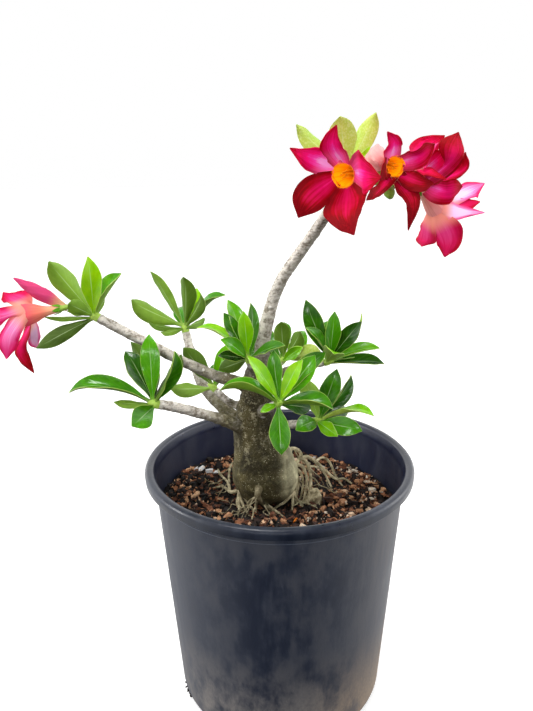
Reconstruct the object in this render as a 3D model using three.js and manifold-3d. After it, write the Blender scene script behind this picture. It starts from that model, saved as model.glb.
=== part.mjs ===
// A potted desert rose: a swollen trunk with bare branches, leaf rosettes and
// trumpet flowers, standing in bark mix in a plain black nursery pot.
// Millimetres, +Z up, the origin at the middle of the pot's underside.
// Headings are degrees from +X towards +Y, and rises are degrees above level.
import * as THREE from "three";
import { mergeVertices } from "three/addons/utils/BufferGeometryUtils.js";
import Module from "manifold-3d";

const wasm = await Module();
wasm.setup();

// The driving dimensions.
const POT = {
  height: 205,
  rimRadius: 108,
  neckRadius: 97.6,
  footRadius: 86.5,
  wall: 1.6,
  lipHeight: 10.5,
  lipReach: 1.8,
  bandHeight: 8,
  bandStep: 0.7,
  footRound: 7,
  floor: 2.2,
  sides: 32,
};
const DRAIN = { count: 6, radius: 6.5, height: 6, start: 10, depth: 30 };
const SOIL_LEVEL = 169;
const SOIL_RINGS = [32, 46, 60, 73, 85];
const CHIPS = { count: 18, least: 7, most: 11, seed: 7 };
const GAP = 0.3;
const LEAF = { thickness: 0.9, fold: 16, stations: 4, petiole: 0.2, ripple: 0.05, toLight: 0.45 };
const PETAL = { thickness: 0.9, stations: 4, foot: 0.36, ripple: 0.08, fold: 10 };
const TUBE = { foot: 2.4, throat: 3.4, mouth: 8, wall: 0.9, sides: 8 };
const CORE = { length: 8, sides: 5 };
// The side that the plant was turned to the light, which its leaves face a little.
const LIGHT = new THREE.Vector3(0, -0.75, 0.65).normalize();

// The trunk and its branches: points of x, y, z and the radius there.
const TRUNK = [
  [-11, 0, 148, 8],
  [-11, 0, 166, 13],
  [-11, 0, 172, 19],
  [-11, 0, 178, 24.5],
  [-11, 0, 187, 27],
  [-13, 0, 202, 25],
  [-15.5, 0, 212, 22],
  [-18, 0, 221, 19],
  [-19.6, 0, 231, 16.5],
  [-18.8, 0, 244, 15],
  [-17.4, 0, 258, 12.8],
  [-16.6, 0, 272, 10.8],
  [-15, 0, 284, 8.2],
  [-12.6, 0, 292, 6.3],
  [-12, 0, 302, 5.7],
  [-8, -3, 320, 5.1],
  [-3, -6, 338, 4.6],
  [5, -12, 356, 4.3],
  [17.5, -20, 375, 4],
  [29, -30, 393, 3.8],
  [39, -37, 410, 3.6],
  [44, -41, 422, 3.6],
];

// Each shoot is a branch that leaves the trunk and the leaves at its tip. A leaf
// is its heading, rise, length, width and the bend from its foot to its tip.
const SHOOTS = {
  left_flowering_shoot: {
    branch: [
      [-17, 0, 262, 7],
      [-30, -2, 269, 5.4],
      [-52, -5, 278, 4.3],
      [-75, -10, 291, 4],
      [-102, -15, 308, 3.8],
      [-122, -19, 321, 3.6],
      [-131, -20, 326.5, 3.4],
    ],
    leaves: [
      [198, 56, 48, 18, 10],
      [310, 70, 48, 18, 20],
      [16, 54, 40, 17, 10],
      [270, 32, 34, 16, 20],
      [196, -26, 44, 20, 20],
      [92, 38, 40, 17, 25],
    ],
  },
  back_left_shoot: {
    branch: [
      [-20, 4, 226, 8],
      [-43, 15, 239, 5.2],
      [-62, 28, 255, 4.6],
      [-70, 36, 272, 4.2],
      [-75, 42, 286, 3.8],
      [-78, 45, 299, 3.4],
    ],
    leaves: [
      [190, 29, 48, 20, 25],
      [165, 60, 53, 16, 10],
      [314, 74, 45, 17, 10],
      [322, 50, 40, 14, 15],
      [9, 44, 44, 16, 10],
      [208, 12, 34, 12, 30],
      [250, 2, 30, 12, 20],
      [317, 20, 28, 12, -15],
      [68, 54, 40, 16, 15],
      [110, 26, 42, 17, 30],
    ],
  },
  low_left_shoot: {
    branch: [
      [-20, -3, 228, 7],
      [-42, -16, 244, 4.6],
      [-60, -26, 254, 4],
      [-76, -34, 262, 3.8],
      [-87.5, -39.5, 266.5, 3.6],
    ],
    leaves: [
      [60, 16, 38, 16, 25],
      [189, 15, 62, 18, 55],
      [87, 80, 50, 17, 10],
      [129, 59, 48, 18, 20],
      [155, 48, 40, 17, 25],
      [339, 55, 45, 18, 15],
      [238, -18, 30, 16, 15],
      [112, 22, 42, 17, 35],
    ],
  },
  twig: {
    branch: [
      [-20, 2, 246, 5],
      [-38, 5, 250, 3.2],
      [-50.5, 7.5, 260.5, 2.8],
    ],
    leaves: [
      [188, 0, 34, 13, 15],
      [172, 54, 40, 15, 15],
      [50, 66, 36, 12, 10],
      [30, 50, 31, 11, 15],
      [90, 26, 30, 12, 25],
    ],
  },
  trunk_shoot: {
    branch: [
      [-17, -1, 274, 5],
      [-20, -10, 284, 3.2],
      [-22, -16, 292, 2.8],
    ],
    leaves: [
      [155, 71, 44, 16, 12],
      [262, 74, 38, 14, 8],
      [188, 58, 36, 13, 15],
      [175, 38, 45, 14, 40],
      [233, 35, 32, 12, 20],
      [207, -8, 28, 12, 20],
      [334, 29, 33, 13, 15],
      [150, -26, 28, 13, 20],
    ],
  },
  front_shoot: {
    branch: [
      [-17, -3, 244, 7],
      [-8, -20, 255, 3.8],
      [-1, -34, 264, 3.2],
    ],
    leaves: [
      [139, 76, 38, 11, 10],
      [199, 57, 43, 14, 15],
      [314, 59, 41, 12, 10],
      [5, 52, 39, 15, 15],
      [33, 34, 47, 18, 25],
      [342, 3, 39, 18, 20],
      [195, 22, 45, 17, 50],
      [269, -52, 39, 18, 10],
      [238, 2, 23, 11, 15],
      [350, -34, 28, 14, 30],
    ],
  },
  high_right_shoot: {
    branch: [
      [-16, 2, 258, 6],
      [4, 8, 275, 3.4],
      [22, 7, 280, 3],
      [36, 5, 283.5, 2.8],
    ],
    leaves: [
      [195, 64, 54, 18, 20],
      [226, 53, 42, 14, 10],
      [273, 78, 40, 14, 12],
      [333, 54, 40, 17, 10],
      [30, 54, 44, 12, 10],
      [347, 21, 40, 14, 30],
      [352, 0, 42, 14, 5],
      [275, 32, 38, 16, 20],
      [80, 44, 42, 17, 20],
    ],
  },
  low_right_shoot: {
    branch: [
      [-16, 0, 228, 8],
      [2, -8, 236, 3.8],
      [16, -12, 239, 3.2],
      [27, -16.5, 243, 3],
    ],
    leaves: [
      [340, 72, 42, 17, 10],
      [15, 46, 41, 14, 15],
      [140, 68, 32, 14, 10],
      [352, 13, 41, 15, 20],
      [315, 2, 36, 18, 20],
      [286, 2, 32, 15, 25],
      [237, -4, 28, 15, 25],
      [62, 30, 39, 15, 25],
      [38, 4, 36, 15, 30],
    ],
  },
  rear_shoot: {
    branch: [
      [-16, 3, 262, 6],
      [-7, 16, 272, 3.2],
      [2, 24, 278, 2.8],
    ],
    leaves: [
      [213, 82, 36, 17, 8],
      [336, 56, 28, 14, 15],
      [23, 40, 28, 13, 15],
      [345, 16, 32, 13, 25],
      [90, 55, 44, 17, 15],
      [130, 30, 46, 18, 25],
      [165, 12, 34, 14, 25],
    ],
  },
};

// The leaves and the flower stalks at the trunk's tip.
const CROWN_LEAVES = [
  [184, 45, 42, 16, 10],
  [232, 72, 38, 18, 15],
  [336, 68, 40, 18, 5],
  [140, 40, 44, 18, 20],
  [95, 55, 44, 18, 15],
  [60, 24, 42, 18, 30],
];
const PEDUNCLE = [
  [46, -42, 427, 2.6],
  [58, -35, 426, 2.6],
  [70, -29, 423, 2.4],
];

// Flowers: the mouth's middle, the way it faces, the tube's length, where its
// stalk starts, and the petals. A petal is its turn about the axis, its spread
// from the axis at foot and tip, its length and its width.
const FLOWERS = {
  crown_front_bloom: {
    mouth: [41, -79, 423],
    faces: [240, -8],
    tube: 28,
    stalk: [46, -42, 426],
    petals: [
      [0, 40, 68, 30, 23],
      [88, 30, 66, 28, 17],
      [149, 38, 76, 30, 21],
      [216, 38, 76, 30, 25],
      [283, 38, 80, 31, 24],
    ],
  },
  crown_middle_bloom: {
    mouth: [73, -64, 429],
    faces: [285, -4],
    tube: 26,
    stalk: [60, -34, 424],
    petals: [
      [30, 35, 60, 22, 20],
      [104, 25, 55, 22, 14],
      [232, 45, 80, 24, 14],
      [288, 50, 95, 35, 19],
      [335, 35, 70, 24, 20],
    ],
  },
  crown_right_bloom: {
    mouth: [97, -38, 425],
    faces: [325, 15],
    tube: 26,
    stalk: [69, -29, 423],
    petals: [
      [30, 30, 20, 26, 25],
      [102, 35, 25, 25, 24],
      [174, 35, 30, 24, 22],
      [246, 45, 55, 24, 20],
      [318, 45, 50, 26, 24],
    ],
  },
  crown_low_bloom: {
    mouth: [110, -22, 399],
    faces: [45, -33],
    tube: 23,
    stalk: [70, -28, 421],
    petals: [
      [40, 30, 60, 26, 20],
      [110, 40, 72, 31, 17],
      [172, 40, 76, 28, 19],
      [250, 32, 54, 29, 25],
      [305, 40, 66, 25, 20],
    ],
  },
  left_bloom: {
    mouth: [-184, -29, 331],
    faces: [188, -8],
    tube: 27,
    stalk: [-138, -21, 331],
    petals: [
      [0, 35, 88, 34, 25],
      [72, 35, 88, 34, 25],
      [144, 35, 88, 34, 25],
      [216, 35, 88, 34, 25],
      [288, 35, 88, 34, 25],
    ],
  },
};
const BUDS = {
  crown_bud: {
    foot: [61.5, -56, 428],
    faces: [262, 72],
    length: 21,
    radius: 5.8,
    stalk: [50, -41, 425],
  },
  left_bud: {
    foot: [-152, -20, 342],
    faces: [192, 24],
    length: 38,
    radius: 5,
    stalk: [-138, -20, 331],
  },
};

// Bare roots that leave the swollen foot and dip into the mix: points of x, y, z
// and radius.
const ROOTS = [
  [[-15, -18, 190, 3.2], [-17, -28, 185, 3], [-10, -26, 176, 2.1], [-1, -28, 170, 1.5], [7, -30, 167, 1]],
  [[-17, -26, 185, 2.6], [-18, -26, 176, 1.9], [-18, -25, 170, 1.4], [-21, -31, 167, 1]],
  [[-30, -6, 187, 2.8], [-31, -13, 178, 2.2], [-26, -15, 171, 1.6], [-22, -18, 167, 1]],
  [[-31, -13, 179, 2], [-33, -17, 172, 1.6], [-30, -23, 169.5, 1.2], [-25, -26, 167, 0.9]],
  [
    [-31, -4, 180, 2.4],
    [-41, -2, 174, 1.7],
    [-48, 10, 171, 1.4],
    [-55, 11, 169.5, 1.1],
    [-62, 19, 167, 0.8],
  ],
  [[-34, 6, 188, 1.8], [-41, 8, 175, 1.3], [-46, 24, 171.5, 1.1], [-53, 39, 170, 1], [-57, 52, 167, 0.8]],
  [[5, 4, 206, 2.4], [10, 8, 209, 2.1], [15, 10, 205, 1.9], [18, 10, 199, 1.8], [12, 4, 196, 1.6]],
  [
    [17, 10, 200, 1.9],
    [25, 22, 193, 1.7],
    [33, 32, 184, 1.6],
    [42, 45, 175, 1.4],
    [49, 44, 170.5, 1.3],
    [52, 34, 169.5, 1.1],
    [62, 26, 166, 0.9],
  ],
  [[30, 29, 187, 1.3], [39, 33, 176, 1.2], [44, 26, 170, 1], [51, 18, 166, 0.8]],
  [
    [13, 8, 200, 2.2],
    [22, 6, 195, 1.7],
    [26, 2, 186, 1.6],
    [25, -2, 177, 1.5],
    [23, -8, 170.5, 1.3],
    [18, -14, 167, 0.9],
  ],
  [
    [11, 0, 199, 2.4],
    [18, -4, 189, 1.8],
    [18, -8, 181, 1.6],
    [15, -13, 174, 1.4],
    [9, -15, 169.5, 1.2],
    [4, -21, 167, 0.9],
  ],
  [[4, -10, 190, 2.2], [9, -17, 181, 1.7], [4, -20, 174, 1.4], [-3, -22, 169.5, 1.2], [-9, -28, 167, 0.9]],
  [[-18, 18, 190, 3], [-24, 28, 178, 2.3], [-30, 37, 171, 1.6], [-37, 47, 167, 0.9]],
  [[-3, 20, 190, 3], [1, 30, 176, 2.2], [8, 39, 170, 1.5], [16, 47, 166, 0.9]],
];
// The corky lump that a root has swelled into, beside the trunk.
const ROOT_LUMP = { at: [27, -8, 172], size: [9, 8, 8.5], sides: [8, 5] };

const rad = THREE.MathUtils.degToRad;
const vec = (p) => new THREE.Vector3(p[0], p[1], p[2]);

// The unit vector of a heading and a rise.
function direction(heading, rise) {
  const level = Math.cos(rad(rise));
  const [h, v] = [rad(heading), rad(rise)];
  return new THREE.Vector3(level * Math.cos(h), level * Math.sin(h), Math.sin(v));
}

// A repeatable draw of numbers from 0 to 1.
function seeded(seed) {
  let state = seed;
  return () => {
    state = (state * 16807) % 2147483647;
    return state / 2147483647;
  };
}

// A three.js geometry as a solid, and a solid as a three.js geometry.
function solidOf(geometry) {
  const bare = new THREE.BufferGeometry();
  bare.setAttribute("position", geometry.getAttribute("position"));
  if (geometry.index) bare.setIndex(geometry.index);
  const merged = mergeVertices(bare, 1e-4);
  const mesh = new wasm.Mesh({
    numProp: 3,
    vertProperties: merged.attributes.position.array,
    triVerts: new Uint32Array(merged.index.array),
  });
  return new wasm.Manifold(mesh);
}
function geometryOf(solid) {
  const made = solid.getMesh();
  const geometry = new THREE.BufferGeometry();
  geometry.setAttribute("position", new THREE.BufferAttribute(made.vertProperties, 3));
  geometry.setIndex(new THREE.BufferAttribute(made.triVerts, 1));
  geometry.computeVertexNormals();
  return geometry;
}
const fused = (solids) => solids.reduce((all, one) => all.add(one));

// The largest piece, when a cut leaves scraps.
function largest(solid) {
  return solid.decompose().reduce((a, b) => (b.volume() > a.volume() ? b : a));
}

// A closed skin over rings of points, with a flat cap at each end.
function skin(rings) {
  const width = rings[0].length;
  const positions = rings.flat().flatMap((p) => [p.x, p.y, p.z]);
  const faces = [];
  for (let i = 0; i + 1 < rings.length; i++) {
    for (let j = 0; j < width; j++) {
      const [a, b] = [i * width + j, i * width + ((j + 1) % width)];
      faces.push(a, b, b + width, a, b + width, a + width);
    }
  }
  const last = (rings.length - 1) * width;
  for (let j = 1; j + 1 < width; j++) {
    faces.push(0, j + 1, j);
    faces.push(last, last + j, last + j + 1);
  }
  const geometry = new THREE.BufferGeometry();
  geometry.setAttribute("position", new THREE.Float32BufferAttribute(positions, 3));
  geometry.setIndex(faces);
  return geometry;
}

// A round limb through points of x, y, z and radius, made thicker by extra.
function limb(points, sides, steps, extra = 0) {
  const curve = new THREE.CatmullRomCurve3(points.map(vec), false, "centripetal");
  const frames = curve.computeFrenetFrames(steps * (points.length - 1), false);
  const rings = frames.tangents.map((_, i) => {
    const at = i / steps;
    const k = Math.min(Math.floor(at), points.length - 2);
    const radius = THREE.MathUtils.lerp(points[k][3], points[k + 1][3], at - k) + extra;
    const centre = curve.getPoint(at / (points.length - 1));
    const ring = [];
    for (let j = 0; j < sides; j++) {
      const turn = (2 * Math.PI * j) / sides;
      const spoke = frames.normals[i].clone().multiplyScalar(Math.cos(turn) * radius);
      spoke.addScaledVector(frames.binormals[i], Math.sin(turn) * radius);
      ring.push(centre.clone().add(spoke));
    }
    return ring;
  });
  return solidOf(skin(rings));
}

// The end of a branch and the way that it points there.
function tipOf(points) {
  const end = vec(points.at(-1));
  return { end, axis: end.clone().sub(vec(points.at(-2))).normalize() };
}

// Half widths along a blade, as shares of its full half width.
function leafOutline(t) {
  const body = Math.sin(Math.PI * Math.pow(t, 1.35)) ** 0.8;
  return Math.max(LEAF.petiole * (1 - t), body, 0.06);
}
function petalOutline(t) {
  const body = Math.sin(Math.PI * (0.12 + 0.88 * t ** 0.9)) ** 0.85;
  return Math.max(PETAL.foot * (1 - t), body, 0.06);
}

// A thin leaf or petal along an arc, creased along its middle, with its columns
// of points split alike on both faces.
function blade({ foot, along, side, length, width, bend, outline, phase, kind }) {
  const { thickness, fold, stations, ripple } = kind;
  const columns = 3;
  const up = along.clone().cross(side);
  const rings = [];
  const point = foot.clone();
  for (let i = 0; i <= stations; i++) {
    const t = i / stations;
    const lean = rad(bend) * (0.5 - t);
    const ahead = along.clone().multiplyScalar(Math.cos(lean)).addScaledVector(up, Math.sin(lean));
    const normal = ahead.clone().cross(side);
    if (i > 0) point.addScaledVector(ahead, length / stations);
    const half = (width / 2) * outline(t);
    const row = [];
    for (let j = 0; j < columns; j++) {
      const across = (2 * j) / (columns - 1) - 1;
      const lift = Math.abs(across) * half * Math.sin(rad(fold));
      const swell = across ** 2 * Math.min(1, 4 * t);
      const wave = ripple * width * swell * Math.sin(5 * t * Math.sign(across) + phase + 6 * t);
      const spread = across * half * Math.cos(rad(fold));
      row.push(point.clone().addScaledVector(side, spread).addScaledVector(normal, lift + wave));
    }
    const upper = row.map((p) => p.clone().addScaledVector(normal, thickness / 2));
    const lower = row.map((p) => p.clone().addScaledVector(normal, -thickness / 2));
    rings.push({ upper, lower });
  }
  return solidOf(slab(rings, columns));
}

// A closed slab between an upper and a lower sheet of the same grid.
function slab(rings, columns) {
  const positions = [];
  const faces = [];
  for (const { upper, lower } of rings) {
    for (const p of [...upper, ...lower]) positions.push(p.x, p.y, p.z);
  }
  const row = 2 * columns;
  const quad = (a, b, c, d) => faces.push(a, b, c, a, c, d);
  for (let i = 0; i + 1 < rings.length; i++) {
    const o = i * row;
    for (let j = 0; j + 1 < columns; j++) {
      const [a, b] = [o + j, o + j + 1];
      quad(a, a + row, b + row, b);
      const [c, d] = [a + columns, b + columns];
      faces.push(c, d + row, c + row, c, d, d + row);
    }
    const [left, right] = [o, o + columns - 1];
    quad(left, left + columns, left + columns + row, left + row);
    quad(right, right + row, right + columns + row, right + columns);
  }
  const end = (rings.length - 1) * row;
  for (let j = 0; j + 1 < columns; j++) {
    quad(j, j + 1, j + 1 + columns, j + columns);
    quad(end + j, end + j + columns, end + j + 1 + columns, end + j + 1);
  }
  const geometry = new THREE.BufferGeometry();
  geometry.setAttribute("position", new THREE.Float32BufferAttribute(positions, 3));
  geometry.setIndex(faces);
  return geometry;
}

// One leaf at a shoot's tip.
function leaf(end, axis, [heading, rise, length, width, bend], rank, count) {
  const along = direction(heading, rise);
  const side = axis.clone().cross(along).normalize();
  const outward = side.clone().cross(axis);
  const lit = LIGHT.clone().cross(along).normalize();
  const share = LEAF.toLight * Math.sign(lit.dot(side));
  side.multiplyScalar(1 - LEAF.toLight).addScaledVector(lit, share).normalize();
  const height = 1.4 + 0.5 * (count - 1 - rank);
  const foot = end.clone().addScaledVector(axis, height).addScaledVector(outward, 0.8);
  return blade({
    foot,
    along,
    side,
    length,
    width,
    bend,
    outline: leafOutline,
    phase: rank,
    kind: LEAF,
  });
}

// The green tip that a shoot's leaves grow from, just clear of the bark.
function shootTip(end, axis, radius) {
  const at = (along, r) => {
    const p = end.clone().addScaledVector(axis, along);
    return [p.x, p.y, p.z, r];
  };
  const points = [at(GAP, radius), at(CORE.length / 2, radius * 0.9), at(CORE.length, radius * 0.3)];
  return limb(points, CORE.sides, 1);
}

function rosette(branch, leaves) {
  const { end, axis } = tipOf(branch);
  const blades = leaves.map((one, rank) => leaf(end, axis, one, rank, leaves.length));
  return fused([shootTip(end, axis, branch.at(-1)[3]), ...blades]);
}

// Where a flower's tube meets its stalk.
function footOf({ mouth, faces, tube }) {
  return vec(mouth).addScaledVector(direction(...faces), -tube);
}

// A corolla: a hollow tube that flares to its mouth, with five petals.
function corolla(flower) {
  const axis = direction(...flower.faces);
  const foot = footOf(flower);
  const at = (along, r) => {
    const p = foot.clone().addScaledVector(axis, along);
    return [p.x, p.y, p.z, r];
  };
  const length = flower.tube;
  const flare = [at(length * 0.7, TUBE.mouth * 0.8), at(length, TUBE.mouth)];
  const outer = limb([at(0, TUBE.foot), at(length * 0.35, TUBE.throat), ...flare], TUBE.sides, 1);
  const past = at(length + 1, TUBE.mouth);
  const inner = limb([at(length * 0.3, TUBE.throat - 1.4), flare[0], past], TUBE.sides, 1, -TUBE.wall);
  const shell = outer.subtract(inner);
  const level = new THREE.Vector3(0, 0, 1);
  const across = level.clone().cross(axis).normalize();
  const above = axis.clone().cross(across);
  const petals = flower.petals.map(([turned, from, to, long, wide], k) => {
    const turn = rad(turned);
    const out = across.clone().multiplyScalar(Math.cos(turn)).addScaledVector(above, Math.sin(turn));
    const middle = rad((from + to) / 2);
    const along = axis.clone().multiplyScalar(Math.cos(middle)).addScaledVector(out, Math.sin(middle));
    return blade({
      foot: vec(flower.mouth).addScaledVector(out, TUBE.mouth - 1).addScaledVector(axis, -2.5),
      along,
      side: out.clone().cross(axis),
      length: long,
      width: wide,
      bend: from - to,
      outline: petalOutline,
      phase: k * 1.7,
      kind: PETAL,
    });
  });
  return fused([shell, ...petals]);
}

// A furled bud, pointed at its tip.
function furledBud({ foot, faces, length, radius }) {
  const axis = direction(...faces);
  const shape = [[0, 0.4], [0.15, 0.7], [0.4, 1], [0.65, 0.85], [0.85, 0.45], [1, 0.12]];
  const points = shape.map(([along, share]) => {
    const p = vec(foot).addScaledVector(axis, along * length);
    return [p.x, p.y, p.z, radius * share];
  });
  return limb(points, 8, 1);
}

// A green stalk that swells under the tube or bud and stops just clear of it.
function stalk(from, foot, faces, radius) {
  const axis = direction(...faces);
  const start = vec(from);
  const end = foot.clone().addScaledVector(axis, -GAP);
  const before = (along) => end.clone().addScaledVector(axis, -along).toArray();
  const points = [
    [...start.toArray(), radius * 0.8],
    [...before(7), radius * 0.8],
    [...before(3), radius * 0.9],
    [...before(0), radius],
  ];
  return limb(points, 5, 1);
}
const bloomStalk = (flower) => stalk(flower.stalk, footOf(flower), flower.faces, TUBE.foot);
const budStalk = (bud) => stalk(bud.stalk, vec(bud.foot), bud.faces, bud.radius * 0.4);

// The mix's surface: it falls from left to right, dips under the trunk and has
// two waves of bark-sized relief.
function soilTop(x, y) {
  const slope = -0.035 * x + 0.01 * y;
  const dip = -1.5 * Math.exp(-((x + 8) ** 2 + (y + 6) ** 2) / 700);
  const coarse = 1.1 * Math.sin(x * 0.13 + 1.3) * Math.sin(y * 0.15 + 0.4);
  const fine = 0.7 * Math.sin(x * 0.37 + y * 0.21) * Math.cos(y * 0.33 - x * 0.15);
  return SOIL_LEVEL + slope + dip + coarse + fine;
}

// The pot's inner radius at a height above its floor.
function innerRadius(z) {
  const top = POT.height - POT.lipHeight;
  return POT.footRadius + ((POT.neckRadius - POT.footRadius) * z) / top - POT.wall;
}

function soil(wood) {
  const rim = innerRadius(SOIL_LEVEL) - GAP;
  const radii = [...SOIL_RINGS, rim];
  const rings = radii.toReversed().map((r) => ({ r, z: null }));
  const low = [
    { r: innerRadius(POT.floor) - POT.footRound, z: POT.floor + GAP },
    { r: innerRadius(POT.footRound + 3) - GAP, z: POT.footRound + 3 },
    { r: innerRadius(90) - GAP, z: 90 },
  ];
  const loops = [...low, ...rings].map(({ r, z }) => {
    const loop = [];
    for (let j = 0; j < POT.sides; j++) {
      const turn = (2 * Math.PI * j) / POT.sides;
      const [x, y] = [r * Math.cos(turn), r * Math.sin(turn)];
      loop.push(new THREE.Vector3(x, y, z ?? soilTop(x, y)));
    }
    return loop;
  });
  const body = solidOf(skin(loops));
  return largest(fused([body, ...barkChips()]).subtract(wood));
}

// Bark chips that stand out of the mix, drawn by a fixed seed.
function barkChips() {
  const draw = seeded(CHIPS.seed);
  const chips = [];
  while (chips.length < CHIPS.count) {
    const [turn, reach] = [2 * Math.PI * draw(), 36 + 48 * Math.sqrt(draw())];
    const size = CHIPS.least + (CHIPS.most - CHIPS.least) * draw();
    const [x, y] = [reach * Math.cos(turn), reach * Math.sin(turn)];
    const box = new THREE.BoxGeometry(size, size * 0.55, size * 0.4);
    const tilt = new THREE.Euler(draw() - 0.5, draw() - 0.5, 2 * Math.PI * draw());
    box.applyMatrix4(new THREE.Matrix4().makeRotationFromEuler(tilt));
    box.translate(x, y, soilTop(x, y) + 0.2);
    chips.push(solidOf(box));
  }
  return chips;
}

// Trunk, branches, bare roots and the lump, all grown as one piece.
function wood(extra = 0) {
  const lump = new THREE.SphereGeometry(1, ...ROOT_LUMP.sides);
  lump.scale(...ROOT_LUMP.size.map((s) => s + extra));
  lump.translate(...ROOT_LUMP.at);
  return fused([
    limb(TRUNK, 11, 1, extra),
    ...Object.values(SHOOTS).map(({ branch }) => limb(branch, 7, 1, extra)),
    ...ROOTS.map((root) => limb(root, 5, 1, extra)),
    solidOf(lump),
  ]);
}

// The pot's section, from its middle out along the underside, up the outside,
// over the turned-down lip and back down the inside.
function potProfile() {
  const { height, rimRadius, neckRadius, footRadius, wall } = POT;
  const skirt = height - POT.lipHeight;
  const band = skirt - POT.bandHeight;
  const slope = (z) => footRadius + ((neckRadius - footRadius) * z) / skirt;
  const lipInside = rimRadius - POT.lipReach;
  return [
    [0, 0],
    [footRadius - POT.footRound, 0],
    [footRadius - POT.footRound * 0.3, POT.footRound * 0.3],
    [slope(POT.footRound), POT.footRound],
    [slope(band), band],
    [slope(band) + POT.bandStep, band + 0.8],
    [neckRadius + POT.bandStep, skirt + 5],
    [neckRadius + 2.5, height - 2.2],
    [lipInside - 2.5, height - 2.2],
    [lipInside, skirt + 5],
    [lipInside, skirt],
    [rimRadius - 0.4, skirt],
    [rimRadius, skirt + 5.5],
    [rimRadius - 2.4, height - 1.2],
    [rimRadius - 5.5, height],
    [neckRadius + 1.2, height - 1],
    [neckRadius - wall, skirt],
    [innerRadius(POT.footRound + 2), POT.footRound + 2],
    [innerRadius(0) - POT.footRound, POT.floor],
    [0, POT.floor],
  ].map(([r, z]) => new THREE.Vector2(r, z));
}

function pot() {
  const turned = new THREE.LatheGeometry(potProfile(), POT.sides);
  turned.rotateX(Math.PI / 2);
  const body = solidOf(turned);
  const holes = [];
  for (let k = 0; k < DRAIN.count; k++) {
    const bore = new THREE.CylinderGeometry(DRAIN.radius, DRAIN.radius, DRAIN.depth, 8);
    const turn = rad(DRAIN.start) + (2 * Math.PI * k) / DRAIN.count;
    bore.rotateZ(Math.PI / 2);
    bore.translate(POT.footRadius, 0, DRAIN.height);
    bore.rotateZ(turn);
    holes.push(solidOf(bore));
  }
  return body.subtract(fused(holes));
}

const FINISH = {
  pot: { color: 0x2b2f38, roughness: 0.5, metalness: 0 },
  soil: { color: 0x5a3d2e, roughness: 0.95, metalness: 0 },
  bark: { color: 0x8a8471, roughness: 0.8, metalness: 0 },
  leaf: { color: 0x4f9a2c, roughness: 0.35, metalness: 0 },
  petal: { color: 0xd0104a, roughness: 0.55, metalness: 0 },
};

const plant = new THREE.Group();
function place(name, solid, finish) {
  const mesh = new THREE.Mesh(geometryOf(solid), new THREE.MeshStandardMaterial(FINISH[finish]));
  mesh.name = name;
  plant.add(mesh);
}

place("nursery_pot", pot(), "pot");
place("potting_mix", soil(wood(GAP)), "soil");
place("trunk_and_roots", wood(), "bark");

const headStalks = {
  left_flowering_shoot: [bloomStalk(FLOWERS.left_bloom), budStalk(BUDS.left_bud)],
};
for (const [name, { branch, leaves }] of Object.entries(SHOOTS)) {
  const extras = headStalks[name] ?? [];
  place(`${name}_leaves`, fused([rosette(branch, leaves), ...extras]), "leaf");
}
const crownFlowers = Object.entries(FLOWERS).filter(([name]) => name.startsWith("crown"));
const crown = [
  rosette(TRUNK, CROWN_LEAVES),
  limb(PEDUNCLE, 6, 1),
  ...crownFlowers.map(([, flower]) => bloomStalk(flower)),
  budStalk(BUDS.crown_bud),
];
place("crown_leaves_and_stalks", fused(crown), "leaf");
for (const [name, flower] of Object.entries(FLOWERS)) place(name, corolla(flower), "petal");
for (const [name, bud] of Object.entries(BUDS)) place(name, furledBud(bud), "petal");

export default plant;
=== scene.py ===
"""A potted desert rose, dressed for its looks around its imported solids.

Tables are in millimetres and Blender's pieces in metres, in the frame of the solids: +Z up, the
origin at the middle of the pot's underside. Headings are degrees from +X towards +Y, and rises
are degrees above level.
"""
import logging
import math
from dataclasses import dataclass, field
from enum import Enum
from typing import Callable, Iterable, Sequence

import bpy
import numpy as np
from mathutils import Matrix, Vector, kdtree, noise


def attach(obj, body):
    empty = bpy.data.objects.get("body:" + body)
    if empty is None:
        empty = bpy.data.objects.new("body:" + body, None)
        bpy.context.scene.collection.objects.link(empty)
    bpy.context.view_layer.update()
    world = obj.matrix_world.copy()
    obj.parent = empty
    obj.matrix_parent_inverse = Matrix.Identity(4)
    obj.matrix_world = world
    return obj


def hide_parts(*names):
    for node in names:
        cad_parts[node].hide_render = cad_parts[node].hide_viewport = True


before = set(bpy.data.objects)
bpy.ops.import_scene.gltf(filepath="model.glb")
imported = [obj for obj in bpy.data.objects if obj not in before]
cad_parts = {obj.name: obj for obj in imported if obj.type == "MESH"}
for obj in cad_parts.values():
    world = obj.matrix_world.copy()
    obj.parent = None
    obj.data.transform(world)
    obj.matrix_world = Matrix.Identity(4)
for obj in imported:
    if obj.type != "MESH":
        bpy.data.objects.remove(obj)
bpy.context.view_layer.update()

LOG = logging.getLogger("desert_rose")
MM = 0.001
NOISE_FADE = 0.9
NOISE_STEP = 2.1
Point = Sequence[float]
Socket = bpy.types.NodeSocket
Material = bpy.types.Material


def unit(vector: np.ndarray) -> np.ndarray:
    """The vectors scaled to a length of one."""
    length = np.linalg.norm(vector, axis=-1, keepdims=True)
    return vector / np.maximum(length, 1e-9)


def direction(heading: float, rise: float) -> np.ndarray:
    """The unit vector of a heading and a rise, in degrees."""
    h, r = math.radians(heading), math.radians(rise)
    return np.array([math.cos(r) * math.cos(h), math.cos(r) * math.sin(h), math.sin(r)])


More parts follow.
